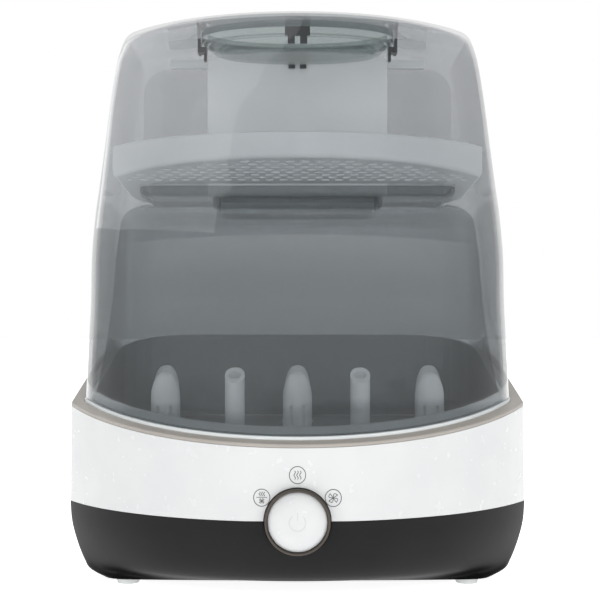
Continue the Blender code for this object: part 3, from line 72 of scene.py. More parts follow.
# --- Outlines and lofts --------------------------------------------------------------------------
@dataclass(frozen=True)
class Plan:
    """A bowed-front outline seen from above, symmetric about the YZ plane."""

    half_width: float
    nose: float
    corner: float
    rear: float
    rear_radius: float
    corner_radius: float

    def bow(self) -> tuple[float, float]:
        """Finds the circle of the bowed front.

        Returns:
            Its radius and the y of its centre.
        """
        rise = self.corner - self.nose
        radius = (self.half_width**2 + rise**2) / (2 * rise)
        return radius, self.nose + radius

    def inset(self, distance: float) -> "Plan":
        """Moves the outline inwards by the same distance all round.

        Args:
            distance: How far, in metres.

        Returns:
            The smaller outline.
        """
        radius, centre_y = self.bow()
        half_width = self.half_width - distance
        return Plan(
            half_width,
            self.nose + distance,
            centre_y - math.sqrt((radius - distance) ** 2 - half_width**2),
            self.rear - distance,
            self.rear_radius - distance,
            max(self.corner_radius - distance / 2, 2 * MM),
        )

    def scaled(self, factor: float) -> "Plan":
        """Returns the outline scaled about the origin."""
        return Plan(*(value * factor for value in self.values()))

    def values(self) -> tuple[float, ...]:
        """Returns the outline's numbers in order."""
        return (self.half_width, self.nose, self.corner, self.rear, self.rear_radius, self.corner_radius)

    def right_half(self) -> Ring:
        """Walks from the middle of the front, round the right side, to the middle of the rear.

        Returns:
            Points with no height.
        """
        radius, centre_y = self.bow()
        end = math.asin(self.half_width / radius)
        tangent = self.corner_radius * math.tan((math.pi / 2 - end) / 2)
        stop = end - tangent / radius
        angles = [stop * step / FRONT_STEPS for step in range(FRONT_STEPS + 1)]
        points = [Vector((radius * math.sin(a), centre_y - radius * math.cos(a), 0)) for a in angles]
        start, corner = points[-1], Vector((self.half_width, self.corner, 0))
        finish = corner + Vector((0, tangent, 0))
        for step in range(1, CORNER_STEPS + 1):
            share = step / CORNER_STEPS
            points.append(start.lerp(corner, share).lerp(corner.lerp(finish, share), share))
        middle = Vector((self.half_width - self.rear_radius, self.rear - self.rear_radius, 0))
        for step in range(REAR_STEPS + 1):
            angle = math.pi / 2 * step / REAR_STEPS
            points.append(middle + self.rear_radius * Vector((math.cos(angle), math.sin(angle), 0)))
        points.append(Vector((0, self.rear, 0)))
        return points

    def ring(self, height: Height) -> Ring:
        """Gives the whole outline, anticlockwise from above.

        Args:
            height: The height as a function of y.

        Returns:
            Its points.
        """
        right = self.right_half()
        left = [Vector((-point.x, point.y, 0)) for point in reversed(right[1:-1])]
        return [Vector((point.x, point.y, height(point.y))) for point in right + left]

    def front(self, x: float) -> float:
        """Returns the y of the bowed front at x."""
        radius, centre_y = self.bow()
        return centre_y - math.sqrt(radius**2 - x**2)


RIM = Plan(0.1519, -0.135, -0.046, 0.135, 0.065, 0.010)
SPLIT = Plan(0.1527, -0.1358, -0.046, 0.1358, 0.065, 0.010)
AROUND_ALL = Plan(0.20, -0.19, -0.09, 0.19, 0.08, 0.010)
SPLIT_HEIGHT = 0.051
RIM_FRONT_HEIGHT = 0.0975
RIM_SLOPE = 0.22
TRAY_FRONT = -0.1058
TRAY_FRONT_HEIGHT = 0.2736
TRAY_FALL = 0.0627
CELL_CORNERS = ((-1, -1), (0, -1), (1, -1), (1, 0), (1, 1), (0, 1), (-1, 1), (-1, 0))
RING_SIZE = len(RIM.right_half()) * 2 - 2


def level(height: float) -> Height:
    """Returns a height that is the same everywhere."""
    return lambda y: height


def rim_plane(offset: float) -> Height:
    """Returns the height over the tilted rim, which rises towards the rear."""
    return lambda y: RIM_FRONT_HEIGHT + RIM_SLOPE * (y - RIM.nose) + offset


def between(first: Ring, last: Ring, steps: int) -> list[Ring]:
    """Fills in rings on the straight lines between two rings.

    Args:
        first: The ring to start from.
        last: The ring to end on.
        steps: How many spans to make.

    Returns:
        The rings from the first to the last.
    """
    shares = [step / steps for step in range(steps + 1)]
    return [[a.lerp(b, share) for a, b in zip(first, last)] for share in shares]


def smooth_rows(rows: Sequence[Sequence[float]], spans: int) -> list[list[float]]:
    """Passes a smooth curve with no overshoot through rows of numbers.

    Args:
        rows: Points of the curve, in any number of dimensions.
        spans: How many spans to make between two rows.

    Returns:
        The finer rows, which include the given ones.
    """
    steps = [math.dist(a, b) for a, b in zip(rows, rows[1:])]
    columns = list(zip(*rows))
    slopes = []
    for column in columns:
        rates = [(b - a) / step for a, b, step in zip(column, column[1:], steps)]
        middle = [2 * a * b / (a + b) if a * b > 0 else 0.0 for a, b in zip(rates, rates[1:])]
        slopes.append([rates[0], *middle, rates[-1]])
    result = [list(rows[0])]
    for i, step in enumerate(steps):
        for part in range(1, spans + 1):
            t = part / spans
            row = []
            for column, slope in zip(columns, slopes):
                start = (1 + 2 * t) * (1 - t) ** 2 * column[i] + t * (1 - t) ** 2 * step * slope[i]
                end = t * t * (3 - 2 * t) * column[i + 1] + t * t * (t - 1) * step * slope[i + 1]
                row.append(start + end)
            result.append(row)
    return result


def loft(rings: Sequence[Ring], hoop: bool = False, looks: Sequence[int] = ()) -> bmesh.types.BMesh:
    """Skins rings of equal length into one closed body.

    Args:
        rings: The rings in order.
        hoop: True to join the last ring to the first, False to cap both ends.
        looks: The material index of each band between rings, or nothing for 0.

    Returns:
        The mesh under construction.
    """
    bm = bmesh.new()
    loops = [[bm.verts.new(point) for point in points] for points in rings]
    pairs = list(zip(loops, loops[1:]))
    if hoop:
        pairs.append((loops[-1], loops[0]))
    else:
        bm.faces.new(loops[0])
        bm.faces.new(loops[-1])
    for number, (below, above) in enumerate(pairs):
        count = len(below)
        for i in range(count):
            j = (i + 1) % count
            face = bm.faces.new((below[i], below[j], above[j], above[i]))
            face.material_index = looks[number] if looks else 0
    return bm


def oval(half_length: float, half_width: float, height: float, count: int = RING_SIZE) -> Ring:
    """Gives an oval ring that starts at the middle of the front.

    Args:
        half_length: Semi-axis along x.
        half_width: Semi-axis along y.
        height: Its height.
        count: How many points it has.

    Returns:
        Its points, anticlockwise from above.
    """
    turns = [2 * math.pi * step / count - math.pi / 2 for step in range(count)]
    return [Vector((half_length * math.cos(t), half_width * math.sin(t), height)) for t in turns]


def turned(profile: Sequence[tuple[float, float]], steps: int) -> bmesh.types.BMesh:
    """Turns a profile about the Z axis.

    Args:
        profile: Points as radius and height; a radius of 0 is a pole.
        steps: How many segments the turn has.

    Returns:
        The mesh under construction, closed at its poles.
    """
    bm = bmesh.new()
    loops = []
    for radius, height in profile:
        if radius == 0:
            loops.append([bm.verts.new((0, 0, height))] * steps)
        else:
            turns = [2 * math.pi * step / steps for step in range(steps)]
            loops.append([bm.verts.new((radius * math.cos(t), radius * math.sin(t), height)) for t in turns])
    for below, above in zip(loops, loops[1:]):
        for i in range(steps):
            j = (i + 1) % steps
            corners = list(dict.fromkeys((below[i], below[j], above[j], above[i])))
            bm.faces.new(corners)
    return bm


def add_box(bm: bmesh.types.BMesh, low: Sequence[float], high: Sequence[float]) -> None:
    """Adds a box between two corners.

    Args:
        bm: The mesh to add to.
        low: Its lowest corner.
        high: Its highest corner.
    """
    low, high = Vector(low), Vector(high)
    made = bmesh.ops.create_cube(bm, size=1)["verts"]
    bmesh.ops.scale(bm, vec=high - low, verts=made)
    bmesh.ops.translate(bm, vec=(low + high) / 2, verts=made)


def rounded(low: tuple[float, float], high: tuple[float, float], radius: float, height: float) -> Ring:
    """Gives a rounded rectangle as a ring.

    Args:
        low: Its lowest x and y.
        high: Its highest x and y.
        radius: The radius of its corners.
        height: Its height.

    Returns:
        Its points, anticlockwise from above.
    """
    corners = (
        (high[0] - radius, low[1] + radius, -90),
        (high[0] - radius, high[1] - radius, 0),
        (low[0] + radius, high[1] - radius, 90),
        (low[0] + radius, low[1] + radius, 180),
    )
    points = []
    for x, y, start in corners:
        for step in range(2 * QUARTER_STEPS + 1):
            angle = math.radians(start + 90 * step / (2 * QUARTER_STEPS))
            points.append(Vector((x + radius * math.cos(angle), y + radius * math.sin(angle), height)))
    return points


# --- Finishes ------------------------------------------------------------------------------------
def linear(code: str) -> tuple[float, float, float, float]:
    """Turns a colour from sRGB hex to linear.

    Args:
        code: The colour as #rrggbb.

    Returns:
        Linear red, green and blue, with alpha 1.
    """
    values = [int(code[i : i + 2], 16) / 255 for i in (1, 3, 5)]
    return (*(v / 12.92 if v <= 0.04045 else ((v + 0.055) / 1.055) ** 2.4 for v in values), 1.0)


def add_node(tree: bpy.types.NodeTree, kind: str, inputs: dict | None = None, **settings) -> bpy.types.Node:
    """Adds a node with its settings, and sets or links its inputs.

    Args:
        tree: The node tree to add to.
        kind: The node's type.
        inputs: A value or another node's output for each input, by name or number.
        settings: The node's own properties.

    Returns:
        The new node.
    """
    node = tree.nodes.new(kind)
    for name, value in settings.items():
        setattr(node, name, value)
    for key, value in (inputs or {}).items():
        if isinstance(value, bpy.types.NodeSocket):
            tree.links.new(value, node.inputs[key])
        else:
            node.inputs[key].default_value = value
    return node


def new_material(name: str) -> tuple[bpy.types.Material, bpy.types.NodeTree]:
    """Makes a material whose node tree is empty.

    Args:
        name: The material's name.

    Returns:
        The material and its tree.
    """
    material = bpy.data.materials.new(name)
    material.use_nodes = True
    material.node_tree.nodes.clear()
    return material, material.node_tree


# what each finish drifts by, and where its two colours begin to mix and end
ROUGHNESS_DRIFT = 0.15
HAZE_DRIFT = 0.2
DRIFT_STOPS = (0.35, 0.65)
DEPTH_STOPS = (0.06, 0.80, 0.95, 0.985)
# see-through skins: how far their noise shifts the tint, and how deep their ripples are
FLOW_SHARE = 0.12
RIPPLE_DEPTH = 0.03 * MM
RIM_WIDTH = 0.18
FRESNEL_POWER = 5.0


class Grain(Enum):
    """How a surface was made, which sets how its pattern is stretched along each axis."""

    POLISHED = (1.0, 1.0, 1.0)
    SPARKED = (1.0, 1.001, 1.0)
    BRUSHED = (0.04, 1.0, 1.0)
    FIBROUS = (0.35, 1.0, 0.6)


@dataclass(frozen=True)
class Solid:
    """An opaque finish whose colour, roughness and surface drift a little."""

    name: str
    slot: str
    colour: str
    drift: str
    roughness: float
    grain: Grain
    pitch_mm: float
    depth_mm: float
    metallic: float = 0.0
    ior: float = 1.5
    drift_mm: float = 35.0

    def make(self) -> bpy.types.Material:
        """Builds the finish.

        Returns:
            Its material.
        """
        material, tree = new_material(self.name)
        place = add_node(tree, "ShaderNodeTexCoord").outputs["Object"]
        stretched = add_node(tree, "ShaderNodeMapping", {"Vector": place, "Scale": self.grain.value})
        drift = add_node(
            tree, "ShaderNodeTexNoise", {"Vector": place, "Scale": 1000 / self.drift_mm, "Detail": 3.0}
        )
        grain = add_node(
            tree,
            "ShaderNodeTexNoise",
            {"Vector": stretched.outputs[0], "Scale": 1000 / self.pitch_mm, "Detail": 2.0},
        )
        colour = self.mixed(tree, drift.outputs["Fac"])
        rough = add_node(
            tree,
            "ShaderNodeMapRange",
            {
                "Value": grain.outputs["Fac"],
                3: self.roughness * (1 - ROUGHNESS_DRIFT),
                4: min(self.roughness * (1 + ROUGHNESS_DRIFT), 1),
            },
        )
        bump = add_node(
            tree,
            "ShaderNodeBump",
            {"Strength": 1.0, "Distance": self.depth_mm * MM, "Height": grain.outputs["Fac"]},
        )
        shader = add_node(
            tree,
            "ShaderNodeBsdfPrincipled",
            {
                "Base Color": colour,
                "Roughness": rough.outputs["Result"],
                "Metallic": self.metallic,
                "IOR": self.ior,
                "Normal": bump.outputs["Normal"],
            },
        )
        add_node(tree, "ShaderNodeOutputMaterial", {"Surface": shader.outputs[0]})
        return material

    def mixed(self, tree: bpy.types.NodeTree, share: bpy.types.NodeSocket) -> bpy.types.NodeSocket:
        """Mixes the finish's two colours.

        Args:
            tree: The node tree.
            share: Where the second colour shows.

        Returns:
            The mixed colour's socket.
        """
        ramp = add_node(tree, "ShaderNodeValToRGB", {"Fac": share})
        for stop, position, code in zip(ramp.color_ramp.elements, DRIFT_STOPS, (self.colour, self.drift)):
            stop.position = position
            stop.color = linear(code)
        return ramp.outputs["Color"]


@dataclass(frozen=True)
class Clear:
    """A see-through plastic skin: tinted, with a mirror sheen that grows towards grazing angles."""

    name: str
    slot: str
    tint: str
    deep: str
    roughness: float
    rim: float = 0.0
    rim_start: float = 0.52
    light: str = "#fdfdfd"
    head_on: float = 0.042
    fade: tuple[float, float] = (0.33, 0.096)
    foot: str = ""

    def make(self) -> bpy.types.Material:
        """Builds the finish.

        Returns:
            Its material.
        """
        material, tree = new_material(self.name)
        place = add_node(tree, "ShaderNodeTexCoord").outputs["Object"]
        flow = add_node(tree, "ShaderNodeTexNoise", {"Vector": place, "Scale": 9.0, "Detail": 2.0})
        height = add_node(tree, "ShaderNodeSeparateXYZ", {0: place}).outputs["Z"]
        depth = add_node(tree, "ShaderNodeMapRange", {"Value": height, 1: self.fade[0], 2: self.fade[1]})
        share = add_node(
            tree,
            "ShaderNodeMath",
            {0: flow.outputs["Fac"], 1: FLOW_SHARE, 2: depth.outputs[0]},
            operation="MULTIPLY_ADD",
        )
        ramp = add_node(tree, "ShaderNodeValToRGB", {"Fac": share.outputs[0]})
        for stop, position, code in zip(ramp.color_ramp.elements, DEPTH_STOPS, (self.tint, self.deep)):
            stop.position = position
            stop.color = linear(code)
        for position, code in zip(DEPTH_STOPS[2:], (self.deep, self.foot or self.deep)):
            ramp.color_ramp.elements.new(position).color = linear(code)
        path = add_node(tree, "ShaderNodeLightPath")
        tint = add_node(
            tree,
            "ShaderNodeMixRGB",
            {0: path.outputs["Is Shadow Ray"], 1: ramp.outputs["Color"], 2: linear(self.light)},
        )
        through = add_node(tree, "ShaderNodeBsdfTransparent", {"Color": tint.outputs[0]})
        waves = add_node(tree, "ShaderNodeTexNoise", {"Vector": place, "Scale": 14.0, "Detail": 1.0})
        bump = add_node(
            tree,
            "ShaderNodeBump",
            {"Strength": 1.0, "Distance": RIPPLE_DEPTH, "Height": waves.outputs["Fac"]},
        )
        haze = add_node(tree, "ShaderNodeTexNoise", {"Vector": place, "Scale": 60.0, "Detail": 2.0})
        rough = add_node(
            tree,
            "ShaderNodeMapRange",
            {
                "Value": haze.outputs["Fac"],
                3: self.roughness * (1 - HAZE_DRIFT),
                4: self.roughness * (1 + HAZE_DRIFT),
            },
        )
        gloss = add_node(
            tree,
            "ShaderNodeBsdfGlossy",
            {"Roughness": rough.outputs["Result"], "Normal": bump.outputs["Normal"]},
        )
        facing = add_node(tree, "ShaderNodeLayerWeight", {"Blend": 0.5}).outputs["Facing"]
        fifth = add_node(tree, "ShaderNodeMath", {0: facing, 1: FRESNEL_POWER}, operation="POWER")
        share = add_node(
            tree,
            "ShaderNodeMath",
            {0: fifth.outputs[0], 1: 1 - self.head_on, 2: self.head_on},
            operation="MULTIPLY_ADD",
        ).outputs[0]
        if self.rim:
            band = add_node(
                tree,
                "ShaderNodeMapRange",
                {"Value": facing, 1: self.rim_start, 2: self.rim_start + RIM_WIDTH, 4: self.rim},
                interpolation_type="SMOOTHSTEP",
            )
            back = add_node(tree, "ShaderNodeNewGeometry").outputs["Backfacing"]
            outside = add_node(tree, "ShaderNodeMath", {0: 1.0, 1: back}, operation="SUBTRACT")
            shown = add_node(
                tree, "ShaderNodeMath", {0: band.outputs[0], 1: outside.outputs[0]}, operation="MULTIPLY"
            )
            share = add_node(
                tree, "ShaderNodeMath", {0: share, 1: shown.outputs[0]}, operation="MAXIMUM"
            ).outputs[0]
        mixed = add_node(
            tree, "ShaderNodeMixShader", {0: share, 1: through.outputs[0], 2: gloss.outputs[0]}
        )
        add_node(tree, "ShaderNodeOutputMaterial", {"Surface": mixed.outputs[0]})
        return material


class Look(Enum):
    """The finishes of the object, each named for what it is and how it was made."""

    # glossy white housing: a crisp soft highlight, hardly any colour of its own
    WHITE_ABS = Solid(
        "moulded_white_abs", "white_abs", "#bfc0c0", "#bbbcbd", 0.26, Grain.POLISHED, 6.0, 0.004
    )
    # charcoal base: a fine spark-eroded skin that keeps its highlights broad and soft
    BLACK_ABS = Solid(
        "textured_black_abs", "black_abs", "#161617", "#131314", 0.50, Grain.SPARKED, 0.7, 0.010, ior=1.24
    )
    # satin warm grey trim
    WARM_GREY = Solid(
        "satin_warm_grey_abs", "warm_grey_abs", "#97928c", "#908b85", 0.38, Grain.SPARKED, 0.8, 0.006
    )
    # the lid: smoke grey, polished on both faces, its tint darker towards the bottom and darkest in a band
    # along its lowest front edge
    SMOKE = Clear(
        "polished_smoke_tritan", "smoke_clear", "#e6e7e8", "#d9dbdc", 0.03, rim=0.92, foot="#aeb3b5"
    )
    SMOKE_INSIDE = Clear("polished_smoke_tritan_inside", "smoke_clear", "#e6e7e8", "#d9dbdc", 0.03)
    # cut and moulded edges of the lid gather light and look paler
    SMOKE_EDGE = Clear("smoke_tritan_edge", "smoke_clear", "#b4babd", "#aeb4b7", 0.12, head_on=0.08)
    # the divider's wings: nearly colourless, seen by their sheen alone
    WING = Clear("clear_tritan_wing", "smoke_clear", "#fafafa", "#f8f9f9", 0.05, head_on=0.07)
    # the grip in the crown: a greener smoke with a bright outline
    GRIP = Clear("smoke_tritan_grip", "smoke_clear", "#dfe4e3", "#dbe0e0", 0.06, rim=0.4, head_on=0.08)
    # the screen: one more layer of smoke seen through the lid; the tray's wells: a darker see-through tint,
    # painted shade under the tray
    DARK_SMOKE = Clear("dark_smoke_tritan", "dark_smoke", "#e2e4e5", "#e0e2e3", 0.06, rim=0.35)
    # painted shade: the wells' darker see-through tint stands for the shade under the tray
    WELL = Clear("painted_shade_well_smoke", "dark_smoke", "#d6d9da", "#d6d9da", 0.10)
    # polypropylene of the tray, the pegs and the plate: milky and soft, with no sharp reflections
    PALE_PP = Solid("moulded_pale_pp", "pale_pp", "#e8eaeb", "#e1e4e5", 0.42, Grain.SPARKED, 1.0, 0.008)
    PLATE_PP = Solid("moulded_white_pp", "pale_pp", "#fafbfb", "#f5f7f7", 0.40, Grain.SPARKED, 1.0, 0.006)
    # the base's well behind the rack: a pale ground for the rack, whose grey is painted shade
    WELL_PP = Solid("moulded_pale_grey_pp", "dark_pp", "#e0e4e5", "#dadedf", 0.46, Grain.SPARKED, 1.0, 0.008)
    # clips: their own dark grey; rack and inner mouldings: greys that step down with depth, painted shade
    # that deepens further inside
    CLIP = Solid("moulded_grey_clip", "black_abs", "#3f4243", "#3a3d3e", 0.42, Grain.SPARKED, 0.8, 0.006)
    # painted shade: the rack's grey stands for the shade under the tray
    RACK_PP = Solid("rack_grey_pp_painted_shade", "dark_pp", "#84898b", "#7c8183", 0.44, Grain.SPARKED, 1.0, 0.010)
    # painted shade: the inner mouldings are greyed darker for lying deeper inside
    INNER_SHADE_PP = Solid("inner_dark_pp_painted_shade", "dark_pp", "#505456", "#494d4f", 0.48, Grain.SPARKED, 1.0, 0.010)
    # the dial's ring: dark, warm and half metallic, so that it takes a thin bright line
    BRONZE = Solid(
        "painted_bronze_ring", "bronze_plate", "#453f3a", "#3e3833", 0.38, Grain.POLISHED, 3.0, 0.004, 0.5
    )
    # metal parts inside, drawn along x by brushing
    STEEL = Solid("brushed_steel", "steel", "#b9bbbd", "#a9abad", 0.28, Grain.BRUSHED, 0.5, 0.006, 1.0)
    # feet: pale and dull
    RUBBER = Solid(
        "translucent_rubber_foot", "rubber", "#c9cbca", "#bcbfbe", 0.62, Grain.SPARKED, 0.9, 0.012
    )
    # circuit board: deep green laminate with a woven line
    BOARD = Solid("glass_fibre_board", "board", "#1c5a36", "#174c2d", 0.42, Grain.BRUSHED, 1.2, 0.010)
    # filter: matt fibre with a deep nap
    FELT = Solid("needled_felt", "filter_felt", "#dedcd4", "#cbc9c1", 0.95, Grain.FIBROUS, 1.1, 0.25)
    # printed signs and the raised sign on the cap, both thin and even
    PRINT = Solid("pad_printed_ink", "black_abs", "#4a4a4c", "#424244", 0.5, Grain.SPARKED, 0.5, 0.004)
    MARK = Solid("raised_white_mark", "white_abs", "#b4b6b7", "#b0b2b3", 0.3, Grain.POLISHED, 3.0, 0.003)


@cache
def material_of(look: Look) -> bpy.types.Material:
    """Returns the one material of a look, built when it is first asked for."""
    return look.value.make()


def add_piece(
    name: str,
    bm: bmesh.types.BMesh,
    looks: Sequence[Look],
    body: str,
    stands_for: Iterable[str] = (),
) -> bpy.types.Object:
    """Turns a mesh into a finished piece that rides on a body.

    Args:
        name: The piece's name.
        bm: Its mesh under construction, which is used up.
        looks: Its finishes, by material index.
        body: The body it rides on.
        stands_for: The frame's nodes that it replaces.

    Returns:
        The new object.
    """
    bmesh.ops.recalc_face_normals(bm, faces=bm.faces)
    mesh = bpy.data.meshes.new(name)
    bm.to_mesh(mesh)
    bm.free()
    mesh.shade_smooth()
    mesh.set_sharp_from_angle(angle=SHARP_ANGLE)
    for look in looks:
        mesh.materials.append(material_of(look))
    piece = bpy.data.objects.new(name, mesh)
    bpy.context.scene.collection.objects.link(piece)
    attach(piece, body)
    if stands_for:
        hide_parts(*stands_for)
    LOG.info("%s: %d faces on %s", name, len(mesh.polygons), body)
    return piece


def carve(piece: bpy.types.Object, tool: bmesh.types.BMesh) -> None:
    """Cuts a closed tool out of a piece for good.

    Args:
        piece: The piece to cut.
        tool: The tool's mesh, which is used up.
    """
    bmesh.ops.recalc_face_normals(tool, faces=tool.faces)
    mesh = bpy.data.meshes.new("tool")
    tool.to_mesh(mesh)
    tool.free()
    cutter = bpy.data.objects.new("tool", mesh)
    bpy.context.scene.collection.objects.link(cutter)
    modifier = piece.modifiers.new("cut", "BOOLEAN")
    modifier.operation = "DIFFERENCE"
    modifier.object = cutter
    modifier.solver = "EXACT"
    depsgraph = bpy.context.evaluated_depsgraph_get()
    cut = bpy.data.meshes.new_from_object(piece.evaluated_get(depsgraph), depsgraph=depsgraph)
    piece.modifiers.clear()
    old = piece.data
    piece.data = cut
    cut.name = old.name
    cut.set_sharp_from_angle(angle=SHARP_ANGLE)
    bpy.data.meshes.remove(old)
    bpy.data.objects.remove(cutter, do_unlink=True)
    bpy.data.meshes.remove(mesh)


# --- Housing -------------------------------------------------------------------------------------
@dataclass
class Housing:
    """The two moulded shells and the trim."""

    wall: float = 0.003
    ledge_width: float = 0.013
    ledge_thickness: float = 0.002
    trim_width: float = 0.0084
    trim_thickness: float = 0.002
    dish_depth: float = 0.0026
    dish_axes: tuple[float, float, float] = (0.400, 0.050, 0.100)
    dish_blend: float = 0.0005
    bore_radius: float = 0.0206
    bore_reach: float = 0.02
    floor: float = 0.0065
    flat_centre: float = 0.017
    flat_shares: tuple[float, ...] = (0.06, 0.5, 0.85)
    hatch: tuple = ((-0.060, -0.045, 0), (0.060, 0.030, 0.012))
    slot_y: tuple[float, float] = (0.120, 0.150)
    drawer_margin: float = 0.001
    inlet: tuple = ((-0.0625, 0.0555), (-0.0375, 0.0735))
    trim_edge: float = 0.0008
    levels: tuple = (
        (0.0040, 0.1275, -0.0790, -0.0740, 0.114, 0.050, 0.018),
        (0.0080, 0.1395, -0.1000, -0.0560, 0.123, 0.057, 0.012),
        (0.0126, 0.1430, -0.1180, -0.0500, 0.127, 0.060, 0.012),
        (0.0250, 0.1483, -0.1305, -0.0470, 0.132, 0.063, 0.011),
        (0.0400, 0.1520, -0.1352, -0.0460, 0.135, 0.065, 0.010),
        (0.05085, 0.1527, -0.1358, -0.0460, 0.1358, 0.065, 0.010),
    )

    def dished(self, point: Vector) -> Vector:
        """Sinks a point of the front into the shallow dish round the dial.

        Args:
            point: A point on the outer face.

        Returns:
            The point, moved back where the dish is.
        """
        if point.y > 0:
            return point
        across, deep, high = self.dish_axes
        room = 1 - (point.x / across) ** 2 - ((point.z - SPLIT_HEIGHT) / high) ** 2
        if room <= 0:
            return point
        bottom = SPLIT.nose + self.dish_depth - deep + deep * math.sqrt(room)
        spread = math.hypot(point.y - bottom, self.dish_blend)
        fade = (point.y + bottom + spread) / 2 - point.y
        return Vector((point.x, point.y + max(fade - self.dish_blend / 20, 0), point.z))

    def build(self) -> None:
        """Builds the shells and the trim."""
        self.build_lower()
        self.build_upper()
        self.build_trim()

    def bore(self, piece: bpy.types.Object) -> None:
        """Cuts the dial's bore.

        Args:
            piece: The shell to cut.
        """
        near, far = -self.bore_reach, self.bore_reach
        tool = turned([(0, near), (self.bore_radius, near), (self.bore_radius, far), (0, far)], TURN_STEPS)
        turn = Matrix.Translation((0, SPLIT.nose, SPLIT_HEIGHT)) @ Matrix.Rotation(math.pi / 2, 4, "X")
        tool.transform(turn)
        carve(piece, tool)

    def cut_slot(self, shell: bpy.types.Object, low: Sequence[float], high: Sequence[float]) -> None:
        """Cuts an upright slot through the rear wall.

        Args:
            shell: The shell to cut.
            low: The slot's lowest x and z.
            high: The slot's highest x and z.
        """
        slot = bmesh.new()
        add_box(slot, (low[0], self.slot_y[0], low[1]), (high[0], self.slot_y[1], high[1]))
        carve(shell, slot)

    def build_lower(self) -> None:
        """Builds the charcoal lower shell."""
        rows = smooth_rows(self.levels, 4)
        outside = [Plan(*row[1:]).ring(level(row[0])) for row in rows]
        outside = [[self.dished(point) for point in ring] for ring in outside]
        first = outside[0]
        centre = Vector((0, self.flat_centre, first[0].z))
        flat = [[centre.lerp(point, share) for point in first] for share in self.flat_shares]
        inside = [Plan(*row[1:]).inset(self.wall).ring(level(row[0])) for row in self.levels[:1:-1]]
        floor = Plan(*rows[0][1:]).inset(self.wall).ring(level(self.floor))
        shell = add_piece(
            "base_shell_lower",
            loft(flat + outside + inside + [floor]),
            [Look.BLACK_ABS],
            "base",
            ["lower_shell"],
        )
        self.bore(shell)
        hatch = bmesh.new()
        add_box(hatch, *self.hatch)
        carve(shell, hatch)

    def build_upper(self) -> None:
        """Builds the glossy white upper shell."""
        bottom = level(SPLIT_HEIGHT + GAP / 2)
        top = rim_plane(-self.trim_thickness - GAP)
        under = rim_plane(-self.trim_thickness - GAP - self.ledge_thickness)
        outside = between(SPLIT.ring(bottom), RIM.ring(top), 20)
        outside = [[self.dished(point) for point in ring] for ring in outside]
        inside = [
            RIM.inset(self.ledge_width).ring(top),
            RIM.inset(self.ledge_width).ring(under),
            RIM.inset(self.wall).ring(under),
            SPLIT.inset(self.wall).ring(bottom),
        ]
        shell = add_piece(
            "base_shell_upper", loft(outside + inside, hoop=True), [Look.WHITE_ABS], "base", ["upper_shell"]
        )
        self.bore(shell)
        low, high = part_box("filter_drawer")
        margin = self.drawer_margin
        self.cut_slot(shell, (low.x - margin, low.z - margin), (high.x + margin, high.z + margin))
        self.cut_slot(shell, *self.inlet)

    def build_trim(self) -> None:
        """Builds the warm grey ledge that the lid stands inside."""
        edge = self.trim_edge
        outline = [(0, -self.trim_thickness), (0, -edge)]
        for step in range(1, QUARTER_STEPS + 1):
            angle = math.pi / 2 * step / QUARTER_STEPS
            outline.append((edge * (1 - math.cos(angle)), edge * (math.sin(angle) - 1)))
        outline += [(self.trim_width - edge / 2, 0), (self.trim_width, -edge / 2)]
        outline.append((self.trim_width, -self.trim_thickness))
        rings = [RIM.inset(shrink).ring(rim_plane(offset)) for shrink, offset in outline]
        add_piece("rim_trim", loft(rings, hoop=True), [Look.WARM_GREY], "base", ["trim_ring"])


class Icon(Enum):
    """What each printed sign on the front stands for."""

    STEAM = "steam"
    STEAM_AND_DRY = "steam and dry"
    DRY = "dry"


